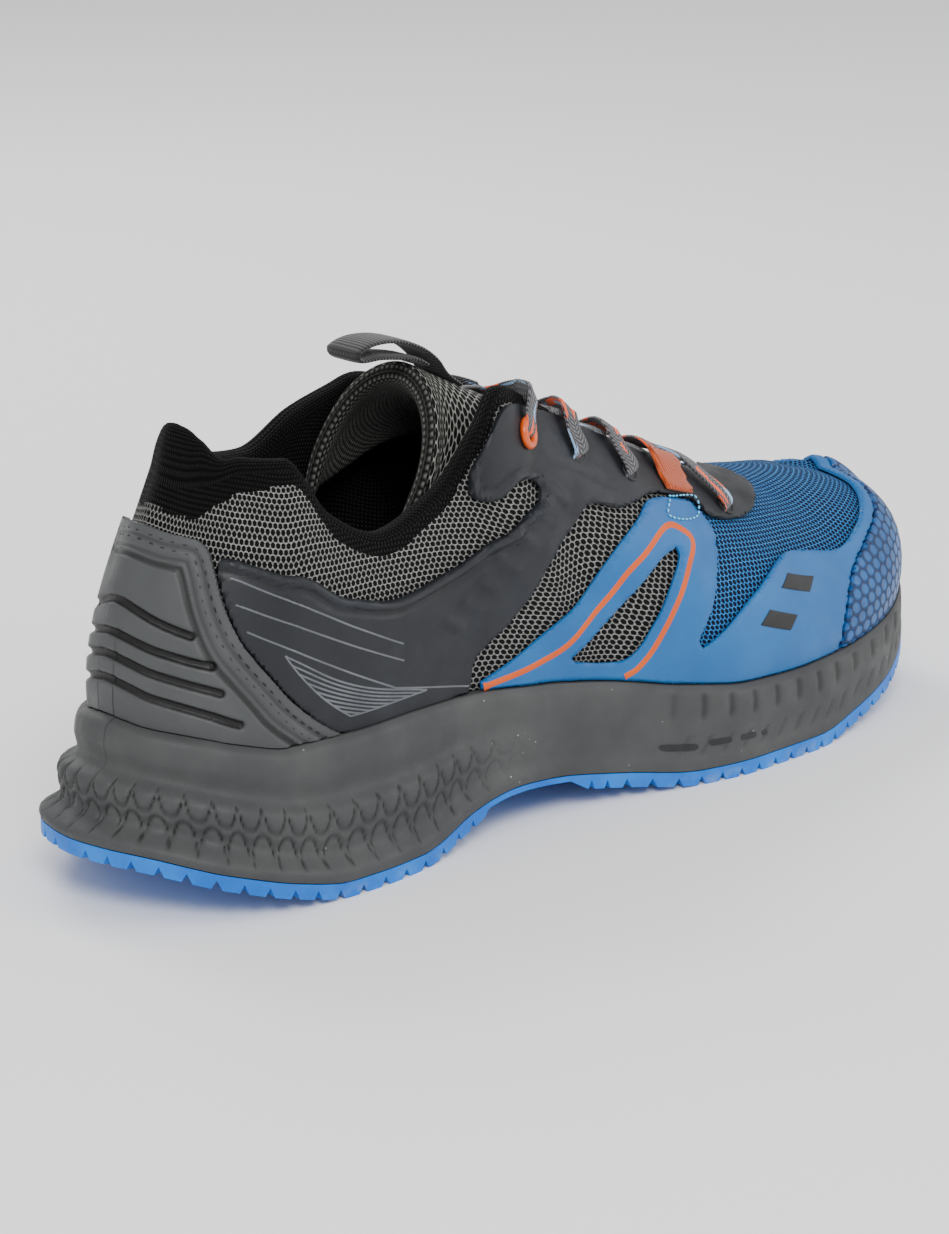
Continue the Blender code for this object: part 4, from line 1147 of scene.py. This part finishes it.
def wall_at(t):
    """Smooth curve through the sidewall's rows, which the plain solid joins with flats."""
    last = len(WALL_TABLE) - 1
    x = min(max(t, 0), 1) * last
    i = min(int(x), last - 1)
    f = x - i
    rows = [WALL_TABLE[min(max(i + k, 0), last)] for k in (-1, 0, 1, 2)]

    def between(a, b, c, d):
        return b + 0.5 * f * (c - a + f * (2 * a - 5 * b + 4 * c - d + f * (3 * (b - c) + d - a)))

    return Wall(*(between(*column) for column in zip(*rows)))


def wave(turns, power):
    """Share from 0 to 1 that peaks at every whole turn, more sharply with a higher power."""
    return (0.5 + 0.5 * math.cos(2 * math.pi * turns)) ** power


def plateau(value, rises, full, ebbs, gone):
    """Share that rises softly from 0 to 1, stays there and sinks to 0 again."""
    return smooth_step(rises, full, value) * (1 - smooth_step(ebbs, gone, value))


@lru_cache(maxsize=None)
def station_sizes(side, station):
    """Sole's edge, outward direction, rim inset, rim height, parting and share of the heel band."""
    edge = sole_edge(side, station)
    return (edge, outward(side, station), rim_inset(side, station), rim_height(side, station),
            sole_parting(edge.x), band_share(station))


def scallops(station, t, heel):
    """Two rows of moulded cups round the heel, the lower half a step on from the upper, and faint
    leaning ribs along the forefoot."""
    run = station * EDGE_LENGTH / RIB_PITCH
    phase = 2 * abs(run - round(run))
    shifted = 2 * abs(run + 0.5 - round(run + 0.5))
    cut = 0.0
    for share, (low, high), turned in ((phase, UPPER_CUPS, False), (shifted, LOWER_CUPS, True)):
        bend = share ** 2.6
        line = high - (high - low) * bend if turned else low + (high - low) * bend
        beside = (t - line) / SEAM_HALF
        row = plateau(t, low - 0.05, low + 0.03, high - 0.03, high + 0.05)
        cut += row * (0.8 * math.exp(-beside * beside) - 0.2 * (1 - share ** 2))
    fore = plateau(station, 0.52, 0.60, 0.90, 0.96)
    lean = station * EDGE_LENGTH / FORE_RIB_PITCH + 1.6 * (0.9 - t) ** 2
    ribs = wave(lean, 5) * plateau(t, 0.55, 0.68, 0.82, 0.92)
    lows = wave(lean * 1.3, 4) * plateau(t, 0.16, 0.24, 0.38, 0.46)
    return heel ** 2 * cut * CUP_DEPTH + fore * (FORE_RIB_DEPTH * ribs + FORE_LOW_DEPTH * lows)


def midsole_wall(side, station, t):
    """Point of the sidewall at a height share, and the relief there."""
    edge, out, inset_most, top, low, heel = station_sizes(side, round(station, 5))
    row = wall_at(t)
    across = row.fore_out + (row.heel_out - row.fore_out) * heel
    up = row.fore_up + (row.heel_up - row.fore_up) * heel
    cut = scallops(station, t, heel)
    inset = inset_most * (1 - across) + cut + max(row.rib, 0) * heel * RIB_DEPTH * 0.3
    point = edge - out * inset
    return Vector((point.x, point.y, low + (top - low) * up)), -cut


def make_midsole():
    """Foam cup with a smooth roll, the ribbed heel band, the flared base and the footbed's bed."""
    bm = new_bmesh()

    def place(u, v):
        side, station = side_and_station(2 * u)
        if v <= WALL_SHARE:
            return midsole_wall(side, station, v / WALL_SHARE)
        rim = rim_inset(side, station)
        if v < WALL_SHARE + LAND_SHARE:
            inset = rim + RIM_LAND * (v - WALL_SHARE) / LAND_SHARE
            return inset_point(side, station, inset, rim_height(side, station))
        inset = rim + RIM_LAND + WALL
        point = inset_point(side, station, inset, 0)
        if v > BED_MIDDLE:
            point.y = 0.5 * (point.y + inset_point(-side, station, inset, 0).y)
        point.z = bed_height(point.x)
        return point

    drape(bm, 1040, 70, place, lambda u, v: (2 * u * EDGE_LENGTH, v * 0.05))

    def below(u, v):
        lateral, medial = (inset_point(side, u, 0, 0) for side in (LATERAL, MEDIAL))
        point = lateral.lerp(medial, 1 - v)
        point.z = sole_parting(point.x)
        return point

    drape(bm, 60, 6, below, lambda u, v: (u * 0.3, v * 0.1))
    weld(bm, recalc=False)
    piece("midsole_foam", bm, [FOAM], ["midsole"], sharp=50)


def wall_share_at(side, station, height):
    """Share of the sidewall at a height over the floor."""
    found = [(abs(midsole_wall(side, station, k / 200)[0].z - height), k / 200) for k in range(201)]
    return min(found)[1]


def make_slot_shade():
    """Four thin dark pads of painted shade, for the slots pressed low into the forefoot's sidewall.
    """
    bm = new_bmesh()
    for side in (LATERAL, MEDIAL):
        for first, last, height in SLOTS:
            share = wall_share_at(side, (first + last) / 2, height)

            def place(u, v):
                round_end = math.sqrt(max(1 - abs(2 * u - 1) ** 6, 0))
                station = first + (last - first) * u
                t = share + (2 * v - 1) * SLOT_HALF * round_end
                point = midsole_wall(side, station, t)[0]
                return point + outward(side, round(station, 3)) * SLOT_PROUD

            drape(bm, 20, 6, place, lambda u, v: (u * 0.01, v * 0.002))
    weld(bm)
    piece("midsole_slot_shade", bm, [BLACK_AND_PAINTED_SHADE])


# The heel counter. Its edge has two stitched channels and a groove, at these distances from it,
# and its back has sunk crescents, whose lines are in shares of the surface.
CHANNELS = (0.0030, 0.0062)
EDGE_GROOVE = 0.0082
COUNTER_CELL = (0.0019, 0.0065)  # faces fine enough for the crescents
CRESCENTS = [[(-0.094, 0.413), (-0.045, 0.455), (0.0, 0.483), (0.045, 0.455), (0.094, 0.413)],
             [(-0.116, 0.302), (-0.055, 0.334), (0.0, 0.350), (0.055, 0.334), (0.116, 0.302)],
             [(-0.127, 0.204), (-0.060, 0.238), (0.0, 0.255), (0.060, 0.238), (0.127, 0.204)],
             [(-0.150, 0.089), (-0.070, 0.132), (0.0, 0.155), (0.070, 0.132), (0.150, 0.089)]]


def to_the_sole(outline):
    """Outline whose lowest points are drawn down to the midsole's rim."""
    return [(s, up if up > 0.013 else 0.001) for s, up in outline]


def make_counter():
    """Moulded cup round the heel, with its grooves and the stitches in its channels."""
    back = [(-s, up) for s, up in reversed(COUNTER_FRONT)]
    edge = to_the_sole(COUNTER_FRONT + [(0.0, 0.812)] + back)
    rim = nearest([edge])
    ridges = [Ridge(rim, inset, half=0.0007, height=-0.0004) for inset in CHANNELS]
    ridges.append(Ridge(rim, EDGE_GROOVE, half=0.0009, height=-0.0006))
    ridges.append(Ridge(nearest(CRESCENTS), 0.0, half=0.0011, height=-0.0012))
    panel("counter_cup", [edge], COUNTER, SHEET_GAP, COUNTER_PLASTIC,
          ["heel_counter"], ridges, COUNTER_CELL)
    stitches("counter_stitches", [offset_line(edge, inset) for inset in CHANNELS], pitch=0.0031,
             length=0.0022, width=0.0007, proud=SHEET_GAP + COUNTER - 0.0003, paint=THREAD_DARK)


# Overlays and prints, on the outer side: embossed bars between the collar's mesh and the window,
# the arrow behind the eyestay, the orange stripe, the dark parallelograms, the silver lines with
# their hatched triangle, and the keeper's box stitch. OVER_TOE is the blue film across the toe.
BARS = [(0.375, 0.40), (0.398, 0.445), (0.420, 0.49), (0.443, 0.53), (0.466, 0.565), (0.490, 0.61),
        (0.515, 0.665)]
BAR_LINES = [[(s - 0.006, up + 0.030), (s + 0.006, up - 0.030)] for s, up in BARS]
ARROW = [[(0.500, 0.80), (0.545, 0.76), (0.580, 0.71)], [(0.530, 0.86), (0.575, 0.74)]]
OVER_TOE = [(0.976, 0.690), (1.0, 0.716), (1.0, 0.800), (0.975, 0.765)]
STRIPE = [(0.397, 0.02), (0.459, 0.114), (0.499, 0.223), (0.530, 0.313), (0.556, 0.407),
          (0.584, 0.491), (0.614, 0.587), (0.625, 0.600), (0.637, 0.571), (0.635, 0.536),
          (0.620, 0.461), (0.599, 0.355), (0.571, 0.219), (0.543, 0.056), (0.533, 0.02)]
FLAGS = [[(0.736, 0.408), (0.770, 0.363), (0.754, 0.312), (0.718, 0.357)],
         [(0.693, 0.284), (0.725, 0.239), (0.711, 0.185), (0.676, 0.231)]]
PRINT_LINES = [[(0.128, 0.586), (0.314, 0.417)], [(0.136, 0.503), (0.312, 0.310)],
               [(0.150, 0.420), (0.300, 0.165), (0.383, 0.033)]]
TRIANGLE = [(0.191, 0.357), (0.335, 0.095), (0.256, 0.081)]
HATCHES = 8  # steps in which the triangle is hatched
BOX_STITCH = [(0.640, 0.722), (0.676, 0.740), (0.659, 0.650), (0.625, 0.634), (0.640, 0.722)]
KEEPER_LIFT = 0.0016  # how far the keeper's loop stands off at the throat, over the lace
LINE_STEPS = 12
FILM_TOP = SHEET_GAP + OVERLAY  # upper face of the films, over the upper


def level_line(start, end):
    """Line that looks straight from the side, between two points in shares."""
    low, high = on_skin(*start), on_skin(*end)
    made = []
    for k in range(LINE_STEPS + 1):
        station = start[0] + (end[0] - start[0]) * k / LINE_STEPS
        share = (on_skin(station, 0.3).x - low.x) / (high.x - low.x)
        height = low.z + (high.z - low.z) * share
        up = start[1] + (end[1] - start[1]) * share
        for _ in range(12):
            up += (height - on_skin(station, up).z) / rib_length(round(abs(station), 3))
        made.append((station, min(max(up, 0.0), 1.0)))
    return made


def share_between(first, second, share):
    """Point between two others given in shares."""
    return tuple(a + (b - a) * share for a, b in zip(first, second))


def silver_lines():
    """The triangle, its hatches and the print's long lines."""
    first, second, third = TRIANGLE
    lines = [(first, second), (second, third), (third, first)]
    for k in range(1, HATCHES):
        lines.append([share_between(first, third, k / HATCHES),
                      share_between(second, third, k / HATCHES)])
    return lines + [level_line(a, b) for line in PRINT_LINES for a, b in zip(line, line[1:])]


def make_overlays():
    """Fused films on both sides with their prints, the webbing keepers and the toe's film."""
    seam = [(s + COUNTER_SEAM * 0.3, up) for s, up in COUNTER_FRONT[:7]]
    quarter = to_the_sole(QUARTER_TOP + EYESTAY_EDGE + WINDOW_REAR + seam)
    vamp = to_the_sole(TOE_EDGE + OVER_TOE + VAMP_EDGE + WINDOW_FRONT + [(0.397, 0.001)])
    silver = silver_lines()
    for side, word in ((LATERAL, "lateral"), (MEDIAL, "medial")):
        rim, bars, arrow = (nearest([on_side(side, line) for line in lines])
                            for lines in ([QUARTER_TOP], BAR_LINES, ARROW))
        ridges = [Ridge(rim, 0.0014, half=0.0009, height=0.0007),
                  Ridge(rim, 0.0034, half=0.0009, height=-0.0004),
                  Ridge(bars, 0.0, half=0.0014, height=0.0006),
                  Ridge(arrow, 0.0, half=0.0016, height=0.0003)]
        panel("quarter_film_" + word, [on_side(side, quarter)], OVERLAY, SHEET_GAP, FILM_DARK,
              ["quarter_overlay_" + word], ridges)
        panel("vamp_film_" + word, [on_side(side, vamp), on_side(side, WINDOW_LOW)], OVERLAY,
              SHEET_GAP, FILM_BLUE, ["vamp_overlay_" + word])
        ribbons("orange_stripe_" + word, [on_side(side, STRIPE)], width=0.0023,
                proud=FILM_TOP - 0.0001, height=0.00025, paint=ORANGE_FILM)
        for k, flag in enumerate(FLAGS):
            panel("dark_flag_%s_%d" % (word, k + 1), [on_side(side, flag)], 0.0003, FILM_TOP,
                  BLACK_AND_PAINTED_SHADE)
        ribbons("silver_lines_" + word, [on_side(side, line) for line in silver], width=0.0005,
                proud=FILM_TOP, height=0.00006, paint=SILVER_PRINT,
                step=0.003, crown=2)
        panel("webbing_keeper_" + word, [on_side(side, KEEPER_OUTLINE)], KEEPER, FILM_TOP + GAP,
              WEBBING_ORANGE, ["lace_keeper_" + word],
              lift_at=lambda around, up: KEEPER_LIFT * smooth_step(0.80, 0.93, up))
        stitches("keeper_stitches_" + word, [on_side(side, BOX_STITCH)], pitch=0.0017,
                 length=0.0013, width=0.0006, proud=FILM_TOP + 0.0003, paint=THREAD_BLUE)
    cap = [(s + TOE_SEAM, up) for s, up in TOE_EDGE[:-1]] + [(0.975, 0.660), (1.0, 0.690)]
    cap += [(2 - s, up) for s, up in reversed(cap[:-1])]
    panel("toe_film", [to_the_sole(cap)], TOE_CAP, SHEET_GAP, HONEYCOMB, ["toe_cap"])


# The lace, its rings and its holes
HOLE_RADIUS = 0.0026
HOLE_RIM = 0.0005
HOLE_PROUD = 0.0001  # over the film
LACE_SAG = -0.0006  # the lace is drawn nearly straight over the padding
STRAND_STEP = 0.0007  # each of two crossing strands keeps this far from their middle
STRAND_RUN = 0.11  # lace between one crossing and the next, so that the braid's flecks go on
BULGE = Vector((0.6, 0, 1)).normalized()  # the way in which a strand arches over the tongue
UPWARD = Vector((0.45, 0, 0.9)).normalized()  # upper face of a strand over the tongue
# The end of a strand that comes from under the throat's edge: share up the side, and distance off
# the surface. The hidden end of one that dives into its hole: share from the hole, and distance off
# the surface. Then its heights over the film at the hole, halfway and at the throat's edge.
FROM_UNDER = ((0.93, -0.0050), (0.985, -0.0040), (1.0, 0.0012))
DIVE = (-0.004, -0.0030)
OVER_FILM = (0.0010, 0.0017, 0.0022)


def strand_end(side, row, dives):
    """Points and upper directions of one strand, from its hidden end to over the throat's edge."""
    s, up = on_side(side, HOLES)[row]
    s_edge = on_side(side, LACE_ENDS)[row][0]
    if dives:
        at_hole, halfway, at_edge = (FILM_TOP + proud for proud in OVER_FILM)
        places = [(s, up, at_hole), ((s + s_edge) / 2, min((up + 1.0) / 2, 0.99), halfway),
                  (s_edge, 1.0, at_edge)]
    else:
        places = [(s_edge, share, proud) for share, proud in FROM_UNDER]
    stops = [(on_skin(*place), spot(*place[:2])[1]) for place in places]
    if dives:
        stops.insert(0, (on_skin(s, up + DIVE[0], DIVE[1]), stops[0][1]))
    return stops


def upper_face(stops, path):
    """Upper directions along a path, blended from those of the nearest stops."""
    tree = KDTree(len(stops))
    for k, (point, _) in enumerate(stops):
        tree.insert(point, k)
    tree.balance()
    outs = []
    for point in path:
        total = Vector()
        for _, k, apart in tree.find_n(point, 3):
            total += stops[k][1] / (apart + 0.0015) ** 2
        outs.append(total.normalized())
    return outs


def make_holes():
    """Eyelet rings of the top row and the punched holes of the rows that have no keeper: a black
    rim round each hole and a black disc of painted shade in it.
    """
    for side, word in ((LATERAL, "lateral"), (MEDIAL, "medial")):
        places = [spot(*hole) for hole in on_side(side, HOLES)]
        bm = new_bmesh()
        point, out = places[0]
        loop_ring(bm, point + out * (FILM_TOP + RING_BAR * 0.9), out, RING_RADIUS, RING_BAR * 1.15)
        weld(bm)
        piece("ring_" + word, bm, [ORANGE_PLASTIC], ["eyelet_" + word])
        bm = new_bmesh()
        for point, out in places[:KEEPER_ROW] + places[KEEPER_ROW + 1:]:
            middle = point + out * (FILM_TOP + HOLE_PROUD)
            loop_ring(bm, middle, out, HOLE_RADIUS, HOLE_RIM, 0.6)
            turn = out.to_track_quat("Z", "Y").to_matrix().to_4x4()
            # Painted shade: a black disc fills the hole.
            bmesh.ops.create_circle(bm, cap_ends=True, segments=24, radius=HOLE_RADIUS,
                                    matrix=Matrix.Translation(middle) @ turn)
        bmesh.ops.recalc_face_normals(bm, faces=bm.faces)
        piece("lace_holes_" + word, bm, [BLACK_AND_PAINTED_SHADE])


def make_lace():
    """Flat lace: a straight bar at the lowest row, then two strands that cross from row to row."""
    last = len(HOLES) - 1
    runs = [(last, LATERAL, last, 0.0)]
    for row in range(last):
        runs.append((row + 1, LATERAL, row, -STRAND_STEP))
        runs.append((row + 1, MEDIAL, row, STRAND_STEP))
    bm = new_bmesh()
    for k, (low_row, side, high_row, over) in enumerate(runs):
        start = strand_end(side, low_row, dives=k == 0)
        end = strand_end(-side, high_row, dives=True)
        middle = start[-1][0].lerp(end[-1][0], 0.5) + BULGE * (LACE_SAG + over)
        stops = start + [(middle, UPWARD)] + end[::-1]
        path = curve([point for point, _ in stops], 0.0008)
        band(bm, path, upper_face(stops, path), LACE_WIDTH, LACE_THICKNESS, start=k * STRAND_RUN)
    weld(bm)
    piece("lace_run", bm, [BRAID], ["lace"])


# The tongue and its pull loop, whose line is in shares of LENGTH and INSTEP_HEIGHT
HOOD_CURL = 26  # degrees that the hood's sides turn in under it
TONGUE_PUFF = 0.0035  # how far the padding swells under the lace
PUFF_WAY = Vector((0.4, 0, 0.9))
PULL_LOOP = [(0.430, 0.953), (0.413, 0.985), (0.402, 1.020), (0.385, 1.052), (0.358, 1.078),
             (0.330, 1.084), (0.310, 1.070), (0.313, 1.053), (0.336, 1.050), (0.362, 1.040),
             (0.380, 1.029), (0.391, 1.014)]


def side_profile(points):
    """Points in the shoe's middle plane."""
    return [Vector((along * LENGTH, 0, height * INSTEP_HEIGHT)) for along, height in points]


def make_tongue():
    """Padded tongue arched into a hood: coarse mesh outside, grey knit inside, a rolled rim."""
    crowns = side_profile((row.along, row.height) for row in TONGUE_SECTIONS)
    widths, drops, thicks = ([getattr(row, name) * size for row in TONGUE_SECTIONS]
                             for name, size in (("width", HALF_WIDTH), ("drop", INSTEP_HEIGHT),
                                                ("thickness", INSTEP_HEIGHT)))
    seam = on_skin(TONGUE_SEAM, 1, -wall_thickness(TONGUE_SEAM, 1) - SHEET_GAP)
    crowns[0] = Vector((seam.x, 0, seam.z))
    last = len(crowns) - 1

    def between_rows(values, x):
        i = min(int(x), last - 1)
        f = x - i
        a, b, c, d = (values[min(max(i + k, 0), last)] for k in (-1, 0, 1, 2))
        return b + (c - a) * 0.5 * f + (a * 2 - b * 5 + c * 4 - d) * 0.5 * f * f + (
            (b - c) * 3 + d - a) * 0.5 * f ** 3

    @lru_cache(maxsize=None)
    def section(u):
        x = u * last
        puff = TONGUE_PUFF * math.sin(math.pi * min(u / 0.85, 1)) ** 2
        crown = between_rows(crowns, x) + PUFF_WAY * puff
        run = between_rows(crowns, min(x + 0.05, last)) - between_rows(crowns, max(x - 0.05, 0))
        up = Vector((-run.z, 0, run.x)).normalized()
        up *= -1 if up.z < 0 else 1
        return crown, up, *(between_rows(column, x) for column in (widths, drops, thicks))

    def place(u, v):
        crown, up, width, drop, thick = section(u)
        outer = v < 0.5
        share = v * 2 if outer else 2 - v * 2
        reach = 90 + HOOD_CURL * smooth_step(0.45, 0.85, u)
        turn = math.radians(reach * (2 * share - 1))
        end_room = 1 - max(0.0, (u - 0.95) / 0.05) ** 2
        side_room = 1 - abs(share * 2 - 1) ** 10
        open_share = math.sqrt(max(min(end_room, side_room), 0))
        fall = drop * (1 - math.cos(turn))
        outside = crown + Vector((0, width * math.sin(turn), 0)) - up * fall
        inside = (crown + Vector((0, (width - thick) * math.sin(turn), 0))
                  - up * (fall + thick * math.cos(turn)))
        middle = (outside + inside) / 2
        return middle + ((outside if outer else inside) - middle) * open_share

    bm = new_bmesh()
    drape(bm, 120, 96, place, lambda u, v: (v * 0.13, u * 0.13),
          lambda u, v: 0 if v < 0.5 and u < 0.985 else 1)
    weld(bm)
    made = piece("tongue_pad", bm, [MESH_TONGUE, KNIT_GREY], ["tongue"], sharp=70)


def make_pull_loop():
    """Ribbed webbing loop, sewn to the tongue at both ends."""
    path = curve(side_profile(PULL_LOOP), 0.0012)
    outs = []
    for k in range(len(path)):
        run = path[min(k + 1, len(path) - 1)] - path[max(k - 1, 0)]
        outs.append(Vector((run.z, 0, -run.x)).normalized())
    bm = new_bmesh()
    band(bm, path, outs, WEBBING_WIDTH, WEBBING)
    weld(bm)
    piece("pull_loop", bm, [WEBBING_BLACK], ["tongue_loop"])


def repaint(node, made):
    """Give a CAD node that stays in sight its material."""
    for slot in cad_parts[node].material_slots:
        slot.material = made


make_upper()
make_midsole()
make_slot_shade()
make_counter()
make_overlays()
make_holes()
make_lace()
make_tongue()
make_pull_loop()
repaint("outsole", RUBBER)
repaint("insole", FOOTBED)


# Floor, light and camera
FLOOR_HALF = 6
WORLD_LIGHT = 0.9
bm = bmesh.new()
bmesh.ops.create_grid(bm, x_segments=1, y_segments=1, size=FLOOR_HALF)
floor_mesh = bpy.data.meshes.new("floor")
bm.to_mesh(floor_mesh)
bm.free()
# Pale paper under the shoe, quite matt
floor_mesh.materials.append(dress(new_material("studio_paper")[0], "F4F4F4", 0.9))
floor = bpy.data.objects.new("floor", floor_mesh)
bpy.context.scene.collection.objects.link(floor)

world = bpy.data.worlds.new("studio")
world.use_nodes = True
background = world.node_tree.nodes["Background"]
background.inputs["Color"].default_value = (1, 1, 1, 1)
background.inputs["Strength"].default_value = WORLD_LIGHT
bpy.context.scene.world = world


def area_light(name, place, aim, size, watts):
    """Round soft light that points at a place."""
    data = bpy.data.lights.new(name, "AREA")
    data.shape = "DISK"
    data.size = size
    data.energy = watts
    lamp = bpy.data.objects.new(name, data)
    lamp.location = place
    lamp.rotation_euler = (Vector(aim) - Vector(place)).to_track_quat("-Z", "Y").to_euler()
    bpy.context.scene.collection.objects.link(lamp)


area_light("key", (-0.7, -0.9, 1.1), (0, 0, 0.05), size=0.7, watts=16)
area_light("fill", (0.9, -0.8, 0.6), (0, 0, 0.05), size=0.9, watts=6)
area_light("back", (0.2, 0.9, 0.9), (0, 0, 0.06), size=0.6, watts=7)

CAMERA_AZIMUTH, CAMERA_ELEVATION, CAMERA_DISTANCE = -43.0, 17.5, 1.0
CAMERA_TARGET = Vector((-0.0107, -0.0014, 0.0463))
CAMERA_LENS, SENSOR = 106.8, 36  # millimetres
a, e = math.radians(CAMERA_AZIMUTH), math.radians(CAMERA_ELEVATION)
back = Vector((math.sin(a) * math.cos(e), -math.cos(a) * math.cos(e), math.sin(e)))
camera_data = bpy.data.cameras.new("camera")
camera_data.lens = CAMERA_LENS
camera_data.sensor_width = SENSOR
camera = bpy.data.objects.new("camera", camera_data)
camera.location = CAMERA_TARGET + back * CAMERA_DISTANCE
camera.rotation_euler = (-back).to_track_quat("-Z", "Y").to_euler()
bpy.context.scene.collection.objects.link(camera)
bpy.context.scene.camera = camera
